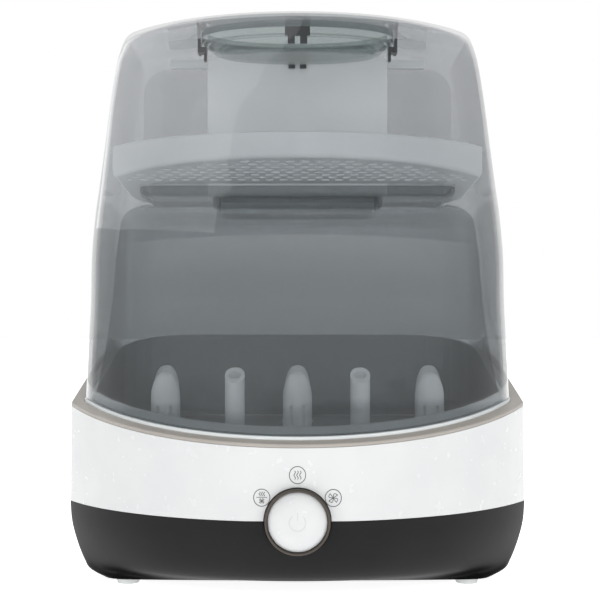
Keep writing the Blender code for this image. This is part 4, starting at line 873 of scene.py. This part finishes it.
@dataclass
class Icons:
    """Generic signs printed on the front, as thin raised ink."""

    housing: Housing
    circle_radius: float = 4.9
    stroke: float = 0.5
    ink: float = 0.00006
    stretch: float = 1.06
    face_height: float = 0.0442
    narrowing: float = 0.0008
    ripple: float = 0.45
    ripples: float = 1.5
    wave_steps: int = 14
    blade_steps: int = 8
    circle_steps: int = 48
    join: float = 0.05
    places: tuple = ((Icon.STEAM, 0.0, 79.1), (Icon.STEAM_AND_DRY, -21.5, 65.4), (Icon.DRY, 21.5, 65.2))

    def wave(self, x: float, low: float, high: float) -> list[tuple[float, float]]:
        """Draws one wavy line of rising steam.

        Args:
            x: Where it stands, in millimetres.
            low: Its lower end.
            high: Its upper end.

        Returns:
            Its points.
        """
        shares = [step / self.wave_steps for step in range(self.wave_steps + 1)]
        return [
            (x + self.ripple * math.sin(2 * math.pi * s * self.ripples), low + (high - low) * s)
            for s in shares
        ]

    def blade(self, turn: float, x: float, z: float, size: float) -> list[tuple[float, float]]:
        """Draws one blade of the fan sign.

        Args:
            turn: Its angle.
            x: The fan's centre.
            z: The fan's centre.
            size: The blade's length.

        Returns:
            Its outline, closed.
        """
        ahead, up = math.cos(turn), math.sin(turn)
        steps = self.blade_steps
        points = []
        for step in range(steps + 1):
            along = size * step / steps
            aside = 0.75 * size * math.sin(math.pi * step / steps) * (0.4 + 0.6 * step / steps)
            points.append((x + along * ahead - aside * up, z + along * up + aside * ahead))
        for step in range(1, steps + 1):
            left = size * (1 - step / steps)
            points.append((x + left * ahead, z + left * up))
        return points

    def strokes(self, icon: Icon) -> list[tuple[list[tuple[float, float]], float]]:
        """Lists a sign's lines about its own centre.

        Args:
            icon: Which sign.

        Returns:
            Each line's points and width, in millimetres.
        """
        turns = [2 * math.pi * step / self.circle_steps for step in range(self.circle_steps + 1)]
        radius = self.circle_radius
        circle = [(radius * math.cos(t), radius * self.stretch * math.sin(t)) for t in turns]
        lines = [(circle, self.stroke)]
        if icon is Icon.STEAM:
            lines += [(self.wave(x, -2.6, 2.6), 0.5) for x in (-1.7, 0.0, 1.7)]
        if icon is Icon.STEAM_AND_DRY:
            lines += [(self.wave(x, 0.9, 3.6), 0.4) for x in (-1.3, 0.0, 1.3)]
            lines.append(([(-3.2, 0.2), (3.2, 0.2)], 0.4))
            lines += [(self.blade(math.pi / 2 * k + 0.5, 0, -2.0, 1.7), 0.4) for k in range(4)]
        if icon is Icon.DRY:
            lines += [(self.blade(math.pi / 2 * k + 0.6, 0, 0, 3.3), 0.45) for k in range(4)]
        return lines

    def spot(self, x: float, z: float, lift: float) -> Vector:
        """Puts a point on the front face.

        Args:
            x: Across, in metres.
            z: Height, in metres.
            lift: How far it stands out from the face.

        Returns:
            The point.
        """
        share = (z - SPLIT_HEIGHT) / self.face_height
        nose = SPLIT.nose + (RIM.nose - SPLIT.nose) * share
        plan = replace(SPLIT, nose=nose, half_width=SPLIT.half_width - self.narrowing * share)
        return self.housing.dished(Vector((x, plan.front(x), z))) - Vector((0, lift, 0))

    def ribbon(self, bm: bmesh.types.BMesh, points: list[tuple[float, float]], width: float) -> None:
        """Adds one line as a thin closed strip on the face.

        Args:
            bm: The mesh to add to.
            points: The line, in millimetres.
            width: Its width, in millimetres.
        """
        closed = math.dist(points[0], points[-1]) < self.join
        if closed:
            points = points[:-1]
        count = len(points)
        rows = []
        for i, (x, z) in enumerate(points):
            before = points[i - 1] if closed or i else points[i]
            after = points[(i + 1) % count] if closed or i < count - 1 else points[i]
            across = Vector((before[1] - after[1], after[0] - before[0])).normalized() * width / 2
            sides = [(x + across.x * s, z + across.y * s) for s in (-1, 1)]
            rows.append(
                [
                    bm.verts.new(self.spot(px * MM, pz * MM, lift))
                    for lift in (self.ink, -self.ink)
                    for px, pz in sides
                ]
            )
        pairs = list(zip(rows, rows[1:])) + ([(rows[-1], rows[0])] if closed else [])
        for a, b in pairs:
            for i, j in ((0, 1), (1, 3), (3, 2), (2, 0)):
                bm.faces.new((a[i], a[j], b[j], b[i]))
        if not closed:
            for row in (rows[0], rows[-1]):
                bm.faces.new((row[0], row[1], row[3], row[2]))

    def build(self) -> None:
        """Prints the signs."""
        for icon, x, z in self.places:
            bm = bmesh.new()
            for points, width in self.strokes(icon):
                self.ribbon(bm, [(x + u, z + v) for u, v in points], width)
            add_piece(f"printed_{icon.value.replace(' ', '_')}", bm, [Look.PRINT], "base")


# --- Dial ----------------------------------------------------------------------------------------
@dataclass
class Dial:
    """The turning ring and the push button in it."""

    y: float = -0.130
    radius: float = 0.020
    front: float = 0.0085
    cap_radius: float = 0.018
    crown: float = 0.0095
    underside: float = 0.0038
    floor: float = -0.002
    back: float = -0.004
    mark_radius: float = 0.0050
    inner_edge: tuple = ((0.0, 0.0004), (0.0003, 0.0001), (0.0006, 0.0))
    outer_edge: tuple = ((0.0008, 0.0), (0.0003, 0.0003), (0.0, 0.0010))
    cap_shares: tuple[float, ...] = (0, 0.2, 0.35, 0.5, 0.6, 0.7, 0.8, 0.87, 0.93, 0.97)
    fall: float = 0.003
    mark_start: float = 128
    mark_sweep: float = 284
    bar_start: float = 0.0012
    bar_length: float = 0.0048
    mark_half_width: float = 0.00040
    mark_lift: float = 0.00012
    mark_root: float = -0.0001

    def facing(self) -> Matrix:
        """Returns the turn that puts local +Z out of the front."""
        return Matrix.Translation((0, self.y, SPLIT_HEIGHT)) @ Matrix.Rotation(math.pi / 2, 4, "X")

    def dome(self, radius: float) -> float:
        """Returns the height of the cap's face at a radius."""
        return self.crown - self.fall * (radius / self.cap_radius) ** 4

    def build(self) -> None:
        """Builds the ring, the cap and its mark."""
        inner = self.cap_radius + GAP
        profile = [(0, self.floor), (inner, self.floor)]
        profile += [(inner + out, self.front - drop) for out, drop in self.inner_edge]
        profile += [(self.radius - inwards, self.front - drop) for inwards, drop in self.outer_edge]
        profile += [(self.radius, self.back), (0, self.back)]
        ring = turned(profile, TURN_STEPS)
        ring.transform(self.facing())
        add_piece("dial_bezel", ring, [Look.BRONZE], "dial", ["dial_ring"])
        edge = 0.9994 * self.cap_radius
        profile = [(self.cap_radius * s, self.dome(self.cap_radius * s)) for s in self.cap_shares]
        profile += [(edge, self.dome(edge) - 0.0002), (self.cap_radius, self.crown - 0.0036)]
        profile += [(self.cap_radius, self.underside), (0, self.underside)]
        cap = turned(profile, TURN_STEPS)
        cap.transform(self.facing())
        add_piece("power_cap", cap, [Look.WHITE_ABS], "button", ["power_button"])
        self.build_mark()

    def build_mark(self) -> None:
        """Raises the power sign on the cap: a broken circle with a bar."""
        lines = []
        turns = [math.radians(self.mark_start + self.mark_sweep * step / 40) for step in range(41)]
        lines.append([(self.mark_radius * math.cos(t), self.mark_radius * math.sin(t)) for t in turns])
        lines.append([(0.0, self.bar_start + self.bar_length * step / 6) for step in range(7)])
        bm = bmesh.new()
        root, lift = self.mark_root, self.mark_lift
        for points in lines:
            rows = []
            for i, (x, z) in enumerate(points):
                a, b = points[max(i - 1, 0)], points[min(i + 1, len(points) - 1)]
                across = Vector((a[1] - b[1], b[0] - a[0])).normalized() * self.mark_half_width
                row = []
                for share, rise in ((-1, root), (-0.6, lift), (0.6, lift), (1, root)):
                    px, pz = x + across.x * share, z + across.y * share
                    row.append(bm.verts.new((px, pz, self.dome(math.hypot(px, pz)) + rise)))
                rows.append(row)
            for a, b in zip(rows, rows[1:]):
                for i in range(4):
                    j = (i + 1) % 4
                    bm.faces.new((a[i], a[j], b[j], b[i]))
            bm.faces.new(rows[0])
            bm.faces.new(rows[-1])
        bm.transform(self.facing())
        add_piece("power_mark", bm, [Look.MARK], "button")


# --- Lid -----------------------------------------------------------------------------------------
@dataclass
class Lid:
    """The smoke-grey cover and the grip let into its crown."""

    inset: float = 0.0094
    wall: float = 0.0026
    seat: float = 0.0018
    hole: tuple[float, float] = (0.068, 0.040)
    hole_height: float = 0.3730
    edge: float = 0.0006
    band_top: float = 0.3754
    band_bottom: float = 0.3664
    bowl_bottom: float = 0.3565
    band_edge: tuple = (
        (0.0005, 0.0012),
        (0.0008, 0.0004),
        (0.0015, 0.0),
        (0.0031, 0.0),
        (0.0040, 0.0004),
        (0.0045, 0.0014),
    )
    bowl_outside: tuple = (
        (0.0300, 0.0),
        (0.0230, 0.0),
        (0.0150, 0.0010),
        (0.0095, 0.0030),
        (0.0062, 0.0062),
    )
    bowl_flange: tuple = ((0.0048, 0.0015), (0.0020, 0.0014), (0.0020, 0.0), (0.0064, 0.0))
    bowl_inside: tuple = (
        (0.0080, 0.0068),
        (0.0110, 0.0044),
        (0.0158, 0.0028),
        (0.0230, 0.0018),
        (0.0300, 0.0018),
    )
    crown_start: float = 0.3550
    crown_top: float = 0.3700
    levels: tuple = (
        (0.1650, 0.984, 0.0000),
        (0.1850, 0.9775, 0.0000),
        (0.2120, 0.9745, 0.0005),
        (0.2430, 0.957, 0.0015),
        (0.2600, 0.941, 0.0025),
        (0.2900, 0.914, 0.0040),
        (0.3200, 0.888, 0.0055),
        (0.3470, 0.858, 0.0068),
        (0.3550, 0.843, 0.0074),
        (0.3628, 0.822, 0.0080),
        (0.3675, 0.790, 0.0084),
        (0.3700, 0.738, 0.0086),
        (0.3716, 0.640, 0.0070),
    )

    def outline(self, factor: float, lean: float) -> Plan:
        """Returns the lid's outline, scaled from its bottom edge, with its front leaning back."""
        plan = RIM.inset(self.inset).scaled(factor)
        return replace(plan, nose=plan.nose + lean)

    def skin(self, distance: float) -> list[Ring]:
        """Gives one face of the lid, from its bottom edge to the grip's hole.

        Args:
            distance: How far inside the outer face it lies.

        Returns:
            Its rings.
        """
        width = RIM.half_width
        rows = [(height, factor * width, lean) for height, factor, lean in self.levels]
        rings = []
        for height, spread, lean in smooth_rows(rows, 3):
            share = min(1, max(0, (height - self.crown_start) / (self.crown_top - self.crown_start)))
            plan = self.outline(spread / width, lean).inset(distance * (1 - 0.5 * share))
            rings.append(plan.ring(level(height - distance * share)))
        bottom = self.outline(1, 0).inset(distance).ring(rim_plane(self.seat))
        hole = oval(*self.hole, self.hole_height - distance)
        return between(bottom, rings[0], 8)[:-1] + rings + between(rings[-1], hole, 5)[1:]

    def build(self) -> None:
        """Builds the cover, the band round the grip and the bowl."""
        outer, inner, edge = self.skin(0), self.skin(self.wall), self.edge
        outer[0] = [point + Vector((0, 0, edge)) for point in outer[0]]
        inner[0] = [point + Vector((0, 0, edge)) for point in inner[0]]
        lips = [self.outline(1, 0).inset(d).ring(rim_plane(self.seat)) for d in (edge, self.wall - edge)]
        rings = lips[::-1][1:] + outer + inner[::-1] + [lips[1]]
        looks = [2] + [0] * (len(outer) - 1) + [2] + [1] * (len(inner) - 1) + [2, 2]
        lid = loft(rings, hoop=True, looks=looks)
        add_piece(
            "smoke_cover", lid, [Look.SMOKE, Look.SMOKE_INSIDE, Look.SMOKE_EDGE], "lid", ["lid_shell"]
        )
        self.build_grip()

    def band(self, outline: Sequence[tuple[float, float]]) -> list[Ring]:
        """Returns oval rings from pairs of shrink and height."""
        return [oval(self.hole[0] - s, self.hole[1] - s, z, TURN_STEPS) for s, z in outline]

    def build_grip(self) -> None:
        """Builds the oval band and the finger bowl under it."""
        top, bottom = self.band_top, self.band_bottom
        bezel = [(self.band_edge[0][0], bottom)]
        bezel += [(shrink, top - drop) for shrink, drop in self.band_edge]
        bezel.append((self.band_edge[-1][0], bottom))
        add_piece("grip_band", loft(self.band(bezel), hoop=True), [Look.GRIP], "lid", ["grip_bezel"])
        top, low = bottom - GAP, self.bowl_bottom
        bowl = [(shrink, low + rise) for shrink, rise in self.bowl_outside]
        bowl += [(shrink, top - drop) for shrink, drop in self.bowl_flange]
        bowl += [(shrink, low + rise) for shrink, rise in self.bowl_inside]
        add_piece("grip_dish", loft(self.band(bowl)), [Look.GRIP], "lid", ["grip_bowl"])


# --- Rack ----------------------------------------------------------------------------------------
@dataclass
class Screen:
    """The dark screen that stands round the rear of the rack, with a swept free edge."""

    lid: Lid
    wall: float = 0.002
    clearance: float = 0.0013
    foot_inset: float = 0.0162
    shoulder: tuple[float, float] = (0.020, 0.0165)
    deck: float = 0.0955
    foot_rise: float = 0.007
    knee_rise: float = 0.011
    shoulder_steps: int = 6
    below_edge: tuple = ((-0.20, 0.05), (-0.070, 0.05), (-0.070, 0.1060))
    above_edge: tuple = ((0.0700, 0.30), (-0.20, 0.30))
    reach: float = 0.2
    edge: tuple = (
        (-0.0560, 0.1150),
        (-0.0450, 0.1210),
        (-0.0140, 0.1390),
        (0.0080, 0.1590),
        (0.0250, 0.1790),
        (0.0360, 0.1980),
        (0.0450, 0.2250),
        (0.0500, 0.2420),
        (0.0580, 0.2540),
        (0.0700, 0.2620),
    )

    def face(self, distance: float) -> list[Ring]:
        """Gives one face of the screen from the deck up to its shoulder.

        Args:
            distance: How far inside the outer face it lies.

        Returns:
            Its rings.
        """
        foot = RIM.inset(self.foot_inset + distance)
        away = self.lid.wall + self.clearance + distance
        width = RIM.half_width
        rows = [(height, factor * width, lean) for height, factor, lean in self.lid.levels[1:4]]
        rings = [foot.ring(level(self.deck + GAP)), foot.ring(rim_plane(self.foot_rise))]
        knee = self.lid.outline(self.lid.levels[0][1], 0).inset(away)
        rings.append(knee.ring(rim_plane(self.knee_rise)))
        for height, spread, lean in smooth_rows(rows, 4):
            rings.append(self.lid.outline(spread / width, lean).inset(away).ring(level(height)))
        top = self.lid.outline(*self.lid.levels[3][1:]).inset(away)
        for step in range(1, self.shoulder_steps + 1):
            turn = math.pi / 2 * step / self.shoulder_steps
            rise = level(self.lid.levels[3][0] + (self.shoulder[1] - distance) * math.sin(turn))
            rings.append(top.inset(self.shoulder[0] * (1 - math.cos(turn))).ring(rise))
        return rings

    def build(self) -> None:
        """Builds the screen and sweeps its free edge."""
        rings = self.face(0) + self.face(self.wall)[::-1]
        screen = add_piece(
            "swept_screen", loft(rings, hoop=True), [Look.DARK_SMOKE], "rack", ["rack_screen"]
        )
        outline = [*self.below_edge, *smooth_rows(self.edge, 5), *self.above_edge]
        tool = bmesh.new()
        sides = [[tool.verts.new((x, y, z)) for y, z in outline] for x in (-self.reach, self.reach)]
        tool.faces.new(sides[0])
        tool.faces.new(sides[1])
        for i in range(len(outline)):
            j = (i + 1) % len(outline)
            tool.faces.new((sides[0][i], sides[0][j], sides[1][j], sides[1][i]))
        carve(screen, tool)


def tray_floor(offset: float) -> Height:
    """Returns the height over the tray's sloping underside."""
    return lambda y: TRAY_FRONT_HEIGHT - TRAY_FALL * (y - TRAY_FRONT) + offset


@dataclass
class Pegs:
    """The bottle pegs and the two air posts that stand on the rack."""

    foot: float = 0.0958
    top: float = 0.1380
    rows: tuple = ((0.0860, -0.0700), (0.0980, 0.0500))
    nose: tuple = (
        (0.0, 0.0),
        (0.0022, 0.0002),
        (0.0040, 0.0010),
        (0.0056, 0.0025),
        (0.0069, 0.0046),
        (0.0080, 0.0073),
        (0.0088, 0.0100),
        (0.0093, 0.0125),
        (0.0095, 0.0150),
    )
    base: tuple = (
        (0.0095, 0.0036),
        (0.0098, 0.0024),
        (0.0106, 0.0017),
        (0.0117, 0.0014),
        (0.0120, 0.0011),
        (0.0120, 0.0),
        (0.0, 0.0),
    )
    slot_x: float = 0.0040
    slot_half: float = 0.0009
    slot_y: tuple = ((-0.0200, -0.0060), (0.0060, 0.0200))
    slot_z: tuple[float, float] = (0.0080, 0.0210)
    post_x: float = 0.0397
    post_y: float = -0.0930
    post_radius: float = 0.0063
    post_top: float = 0.1420
    slant_drop: float = 0.0095
    slant: float = math.radians(37)
    post_edge: float = 0.0005
    wedge: tuple = ((-0.02, -0.02, 0), (0.02, 0.04, 0.02))
    outlet: tuple = ((0, -0.005), (0.0034, -0.005), (0.0040, 0.0002), (0, 0.0002))
    outlet_place: float = 0.0079
    outlet_steps: int = 32

    def build(self) -> None:
        """Builds the six pegs and the two posts."""
        places = [(side * spacing, y) for spacing, y in self.rows for side in (-1, 0, 1)]
        profile = [(radius, self.top - depth) for radius, depth in self.nose]
        profile += [(radius, self.foot + height) for radius, height in self.base]
        for number, (x, y) in enumerate(places, 1):
            peg = turned(profile, PEG_STEPS)
            peg.transform(Matrix.Translation((x, y, 0)))
            name = f"bottle_peg_{number}"
            piece = add_piece(f"{name}_moulded", peg, [Look.PALE_PP], "rack", [name])
            slots = bmesh.new()
            for side in (-1, 1):
                middle = x + side * self.slot_x
                for near, far in self.slot_y:
                    low = (middle - self.slot_half, y + near, self.foot + self.slot_z[0])
                    high = (middle + self.slot_half, y + far, self.foot + self.slot_z[1])
                    add_box(slots, low, high)
            carve(piece, slots)
        for name, side in (("left", -1), ("right", 1)):
            self.build_post(name, side * self.post_x)

    def build_post(self, name: str, x: float) -> None:
        """Builds one air post: a tube cut off at a slant, with its outlet in the slanted face.

        Args:
            name: Which side it stands on.
            x: Its place across.
        """
        edge = self.post_edge
        profile = [(0, self.post_top), (self.post_radius - edge, self.post_top)]
        profile += [(self.post_radius, self.post_top - edge), (self.post_radius, self.foot), (0, self.foot)]
        post = turned(profile, PEG_STEPS)
        post.transform(Matrix.Translation((x, self.post_y, 0)))
        piece = add_piece(f"air_post_{name}_moulded", post, [Look.PALE_PP], "rack", [f"air_post_{name}"])
        place = Matrix.Translation((x, self.post_y - self.post_radius, self.post_top - self.slant_drop))
        tilted = place @ Matrix.Rotation(self.slant, 4, "X")
        wedge = bmesh.new()
        add_box(wedge, *self.wedge)
        wedge.transform(tilted)
        carve(piece, wedge)
        outlet = turned(self.outlet, self.outlet_steps)
        outlet.transform(tilted @ Matrix.Translation((0, self.outlet_place, 0)))
        carve(piece, outlet)


@dataclass
class Tray:
    """The accessory tray: a pale rim, a perforated floor and two wells under it, tinted dark as painted
    shade under the tray.
    """

    plan: Plan = Plan(0.1258, -0.1058, -0.0350, 0.1060, 0.055, 0.005)
    wall: float = 0.0022
    rim: float = 0.2900
    pitch: float = 0.0096
    hole: float = 0.0032
    perforated_to: float = -0.016
    wells: tuple = ((0.1120, 0.2590, 0.2660), (0.0600, 0.2500, 0.2588))
    well_y: tuple[float, float] = (-0.0100, 0.0900)
    well_corner: float = 0.014
    well_play: float = 0.001
    well_cut: tuple[float, float] = (0.24, 0.29)
    edge: float = 0.0006
    lip_inset: float = 0.0034
    lip_rise: float = 0.0045
    sheet_inset: float = 0.0034
    hole_inset: float = 0.0098
    cut_heights: tuple[float, float] = (0.2, 0.3)

    def build(self) -> None:
        """Builds the rim, the floor and the wells."""
        edge = self.edge
        outline = [
            (0.0030, tray_floor(0)),
            (0.0010, tray_floor(0.0010)),
            (0, tray_floor(0.0030)),
            (0, level(self.rim - edge)),
            (edge, level(self.rim)),
            (self.wall - edge, level(self.rim)),
            (self.wall, level(self.rim - edge)),
            (self.wall, tray_floor(self.lip_rise)),
            (self.lip_inset, tray_floor(self.wall)),
            (self.lip_inset, tray_floor(0)),
        ]
        rings = [self.plan.inset(shrink).ring(height) for shrink, height in outline]
        add_piece("tray_rim", loft(rings, hoop=True), [Look.PALE_PP], "tray", ["accessory_tray"])
        self.build_floor()
        for number, (half, bottom, top) in enumerate(self.wells, 1):
            low, high = (-half, self.well_y[0]), (half, self.well_y[1])
            shell = [(0.0035, bottom), (0.0010, bottom + 0.0010), (0.0, bottom + 0.0035), (0.0, top)]
            shell += [(self.wall, top), (self.wall, bottom + 0.0040), (0.0050, bottom + self.wall)]
            rings = [
                rounded((low[0] + s, low[1] + s), (high[0] - s, high[1] - s), self.well_corner - s, z)
                for s, z in shell
            ]
            # the wells' dark tint is painted shade under the tray
            add_piece(f"tray_well_{number}", loft(rings), [Look.WELL], "tray")

    def build_floor(self) -> None:
        """Builds the floor as one sheet of cells, those near the front with a round drain hole each."""
        sheet = bmesh.new()
        known = {}

        def corner(x: float, y: float) -> bmesh.types.BMVert:
            """Returns the one vertex at a place."""
            key = (round(x * 1e6), round(y * 1e6))
            if key not in known:
                known[key] = sheet.verts.new((x, y, 0))
            return known[key]

        half = self.pitch / 2
        inner = self.plan.inset(self.hole_inset)
        columns = int(self.plan.half_width / self.pitch) + 2
        rows = int((self.plan.rear - self.plan.nose) / self.pitch) + 2
        for row in range(rows):
            y = self.plan.nose + half + row * self.pitch
            for column in range(-columns, columns + 1):
                x = (column + 0.5 * (row % 2)) * self.pitch
                border = [corner(x + half * u, y + half * v) for u, v in CELL_CORNERS]
                holed = y < self.perforated_to and abs(x) < inner.half_width and y > inner.front(x)
                if not holed:
                    sheet.faces.new(border)
                    continue
                turns = [math.pi / 8 * step - math.pi * 3 / 4 for step in range(16)]
                hole = [corner(x + self.hole * math.cos(t), y + self.hole * math.sin(t)) for t in turns]
                for i in range(8):
                    inside = [hole[(2 * i + k) % 16] for k in (2, 1, 0)]
                    sheet.faces.new([border[i], border[(i + 1) % 8], *inside])
        made = bmesh.ops.extrude_face_region(sheet, geom=sheet.faces[:], use_keep_orig=True)["geom"]
        raised = [v for v in made if isinstance(v, bmesh.types.BMVert)]
        for vert in raised:
            vert.co.z = self.wall
        for vert in sheet.verts:
            vert.co.z += tray_floor(0)(vert.co.y)
        floor = add_piece("tray_floor", sheet, [Look.PALE_PP], "tray")
        inside = [self.plan.inset(self.sheet_inset).ring(level(z)) for z in self.cut_heights]
        around = [AROUND_ALL.ring(level(z)) for z in reversed(self.cut_heights)]
        carve(floor, loft(inside + around, hoop=True))
        well = bmesh.new()
        half_width = self.wells[0][0] - self.well_play
        low, high = self.well_y[0] + self.well_play, self.well_y[1] - self.well_play
        add_box(well, (-half_width, low, self.well_cut[0]), (half_width, high, self.well_cut[1]))
        carve(floor, well)


# --- Frame nodes that keep their shape -----------------------------------------------------------
NODE_LOOKS = {
    Look.WHITE_ABS: ("filter_drawer",),
    Look.BLACK_ABS: ("bottom_cover", "power_inlet"),
    Look.CLIP: tuple(f"grip_clip_{side}" for side in ("front", "rear", "left", "right")),
    Look.WING: ("divider_wing_left", "divider_wing_right"),
    Look.PLATE_PP: ("divider_plate",),
    Look.PALE_PP: ("wing_rail_left", "wing_rail_right"),
    # the rack's grey is painted shade
    Look.RACK_PP: ("bottle_rack",),
    Look.WELL_PP: ("base_well",),
    # these inner mouldings' darker grey is painted shade
    Look.INNER_SHADE_PP: (
        "fan_housing",
        "fan_impeller",
        "air_duct",
        "drawer_rail_left",
        "drawer_rail_right",
    ),
    Look.STEEL: (
        "heating_plate",
        "heating_element",
        "thermostat",
        "fan_motor",
        "air_outlet_grille",
        "dial_shaft",
        "rotary_encoder",
        "button_spring",
        *(f"cover_screw_{number}" for number in range(1, 5)),
    ),
    Look.RUBBER: tuple(f"foot_{number}" for number in range(1, 5)),
    Look.BOARD: ("control_board",),
    Look.FELT: ("air_filter",),
}


def dress_nodes() -> None:
    """Gives each frame node that stays in view its finish."""
    for look, names in NODE_LOOKS.items():
        for name in names:
            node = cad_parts[name]
            for slot in node.material_slots:
                slot.material = material_of(look)
            soften = node.modifiers.new("soft_edges", "BEVEL")
            soften.width = BEVEL_WIDTH
            soften.segments = BEVEL_SEGMENTS
            soften.limit_method = "ANGLE"
            soften.angle_limit = SHARP_ANGLE
            LOG.info("%s keeps its shape in %s", name, look.value.name)


# --- Studio --------------------------------------------------------------------------------------
@dataclass
class Studio:
    """A pale floor, soft light and the camera."""

    lens: float = 75.0
    distance: float = 0.885
    eye: float = 0.174
    shift: tuple[float, float] = (2.5 / 600, 17 / 600)
    floor_radius: float = 9.0
    floor_colour: tuple = (0.9, 0.9, 0.9, 1)
    floor_glow: float = 0.9
    cloth_glow: float = 0.8
    cloth_reach: float = 6.0
    cloth_centre: tuple[float, float, float] = (0, 0, 0.25)
    # azimuth and elevation of the soft box's corners, in degrees, seen from its centre
    cloth: tuple = (
        (8, 75),
        (2, 52),
        (-9, 36),
        (-22, 29),
        (-34, 25.5),
        (-40, 22),
        (-42, 13.6),
        (-60, 13.1),
        (-80, 11.9),
        (-102, 10),
        (-125, 8),
        (-125, 75),
    )
    # name, place, size and power of each lamp, and the point that they look at
    lamps: tuple = (
        ("top_light", (0.0, -0.35, 1.9), 1.4, 14.0),
        ("front_light", (0.2, -2.2, 0.9), 1.4, 21.0),
    )
    aim: tuple[float, float, float] = (0, 0, 0.2)
    white: tuple = (1, 1, 1, 1)

    def build(self) -> None:
        """Builds the studio."""
        self.build_floor()
        self.build_world()
        self.build_lights()
        self.build_camera()
        view = bpy.context.scene.view_settings
        view.view_transform = "Standard"
        view.look = "None"
        cycles = bpy.context.scene.cycles
        cycles.transparent_max_bounces = 40
        cycles.max_bounces = 10
        cycles.use_denoising = True
        cycles.caustics_reflective = False
        cycles.sample_clamp_indirect = 2.0

    def build_floor(self) -> None:
        """Lays a round matt floor."""
        bm = bmesh.new()
        bmesh.ops.create_circle(bm, cap_ends=True, segments=64, radius=self.floor_radius)
        mesh = bpy.data.meshes.new("studio_floor")
        bm.to_mesh(mesh)
        bm.free()
        material, tree = new_material("pale_paper_floor")
        matt = add_node(tree, "ShaderNodeBsdfDiffuse", {"Color": self.floor_colour})
        glow = add_node(tree, "ShaderNodeEmission", {"Color": self.white, "Strength": self.floor_glow})
        both = add_node(tree, "ShaderNodeAddShader", {0: matt.outputs[0], 1: glow.outputs[0]})
        add_node(tree, "ShaderNodeOutputMaterial", {"Surface": both.outputs[0]})
        mesh.materials.append(material)
        floor = bpy.data.objects.new("studio_floor", mesh)
        bpy.context.scene.collection.objects.link(floor)

    def build_world(self) -> None:
        """Surrounds the scene with white that is dimmer in front of the object and above it."""
        world = bpy.data.worlds.new("studio_world")
        bpy.context.scene.world = world
        world.use_nodes = True
        tree = world.node_tree
        tree.nodes.clear()
        direction = add_node(tree, "ShaderNodeTexCoord").outputs["Generated"]
        parts = add_node(tree, "ShaderNodeSeparateXYZ", {0: direction})
        lifted = add_node(
            tree,
            "ShaderNodeMath",
            {0: parts.outputs["Y"], 1: 0.095, 2: parts.outputs["Z"]},
            operation="MULTIPLY_ADD",
        )
        low = add_node(
            tree,
            "ShaderNodeMapRange",
            {"Value": lifted.outputs[0], 1: 0.168, 2: 0.160, 3: 0.36, 4: 1.05},
            interpolation_type="SMOOTHSTEP",
        )
        rear = add_node(
            tree,
            "ShaderNodeMapRange",
            {"Value": parts.outputs["Y"], 1: -0.35, 2: 0.25, 3: 0.0, 4: 1.0},
            interpolation_type="SMOOTHSTEP",
        )
        strength = add_node(
            tree,
            "ShaderNodeMapRange",
            {"Value": rear.outputs[0], 3: low.outputs[0], 4: 1.0},
        )
        path = add_node(tree, "ShaderNodeLightPath")
        seen = add_node(
            tree,
            "ShaderNodeMath",
            {0: path.outputs["Is Camera Ray"], 1: strength.outputs[0]},
            operation="MAXIMUM",
        )
        back = add_node(tree, "ShaderNodeBackground", {"Color": self.white, "Strength": seen.outputs[0]})
        add_node(tree, "ShaderNodeOutputWorld", {"Surface": back.outputs[0]})

    def build_lights(self) -> None:
        """Hangs a top light, a front light and the slanted soft box on the left."""
        for name, place, size, power in self.lamps:
            light = bpy.data.lights.new(name, "AREA")
            light.shape = "SQUARE"
            light.size = size
            light.energy = power
            lamp = bpy.data.objects.new(name, light)
            lamp.location = place
            lamp.rotation_mode = "QUATERNION"
            lamp.rotation_quaternion = (Vector(self.aim) - Vector(place)).to_track_quat("-Z", "Y")
            lamp.visible_camera = False
            lamp.visible_glossy = False
            bpy.context.scene.collection.objects.link(lamp)
        points = []
        for azimuth, elevation in self.cloth:
            a, e = math.radians(azimuth), math.radians(elevation)
            ray = Vector((math.sin(a) * math.cos(e), -math.cos(a) * math.cos(e), math.sin(e)))
            points.append(ray * self.cloth_reach + Vector(self.cloth_centre))
        bm = bmesh.new()
        hub = bm.verts.new(sum(points, Vector()) / len(points))
        rim = [bm.verts.new(point) for point in points]
        for i in range(len(rim)):
            bm.faces.new((hub, rim[i], rim[(i + 1) % len(rim)]))
        mesh = bpy.data.meshes.new("soft_box")
        bm.to_mesh(mesh)
        bm.free()
        material, tree = new_material("soft_box_cloth")
        glow = add_node(tree, "ShaderNodeEmission", {"Color": self.white, "Strength": self.cloth_glow})
        behind = add_node(tree, "ShaderNodeBsdfTransparent")
        both = add_node(tree, "ShaderNodeAddShader", {0: glow.outputs[0], 1: behind.outputs[0]})
        add_node(tree, "ShaderNodeOutputMaterial", {"Surface": both.outputs[0]})
        mesh.materials.append(material)
        box = bpy.data.objects.new("soft_box", mesh)
        box.visible_camera = False
        box.visible_diffuse = False
        bpy.context.scene.collection.objects.link(box)

    def build_camera(self) -> None:
        """Sets up the level camera in front of the object."""
        data = bpy.data.cameras.new("camera")
        data.lens = self.lens
        data.sensor_width = 36.0
        data.shift_x, data.shift_y = self.shift
        camera = bpy.data.objects.new("camera", data)
        camera.location = (0, -self.distance, self.eye)
        camera.rotation_euler = (math.pi / 2, 0, 0)
        bpy.context.scene.collection.objects.link(camera)
        bpy.context.scene.camera = camera


def main() -> None:
    """Builds the sub-assemblies in order, then the studio."""
    housing = Housing()
    housing.build()
    Icons(housing).build()
    Dial().build()
    lid = Lid()
    lid.build()
    Screen(lid).build()
    Tray().build()
    Pegs().build()
    dress_nodes()
    Studio().build()


if __name__ == "__main__":
    logging.basicConfig(level=logging.INFO)
    main()
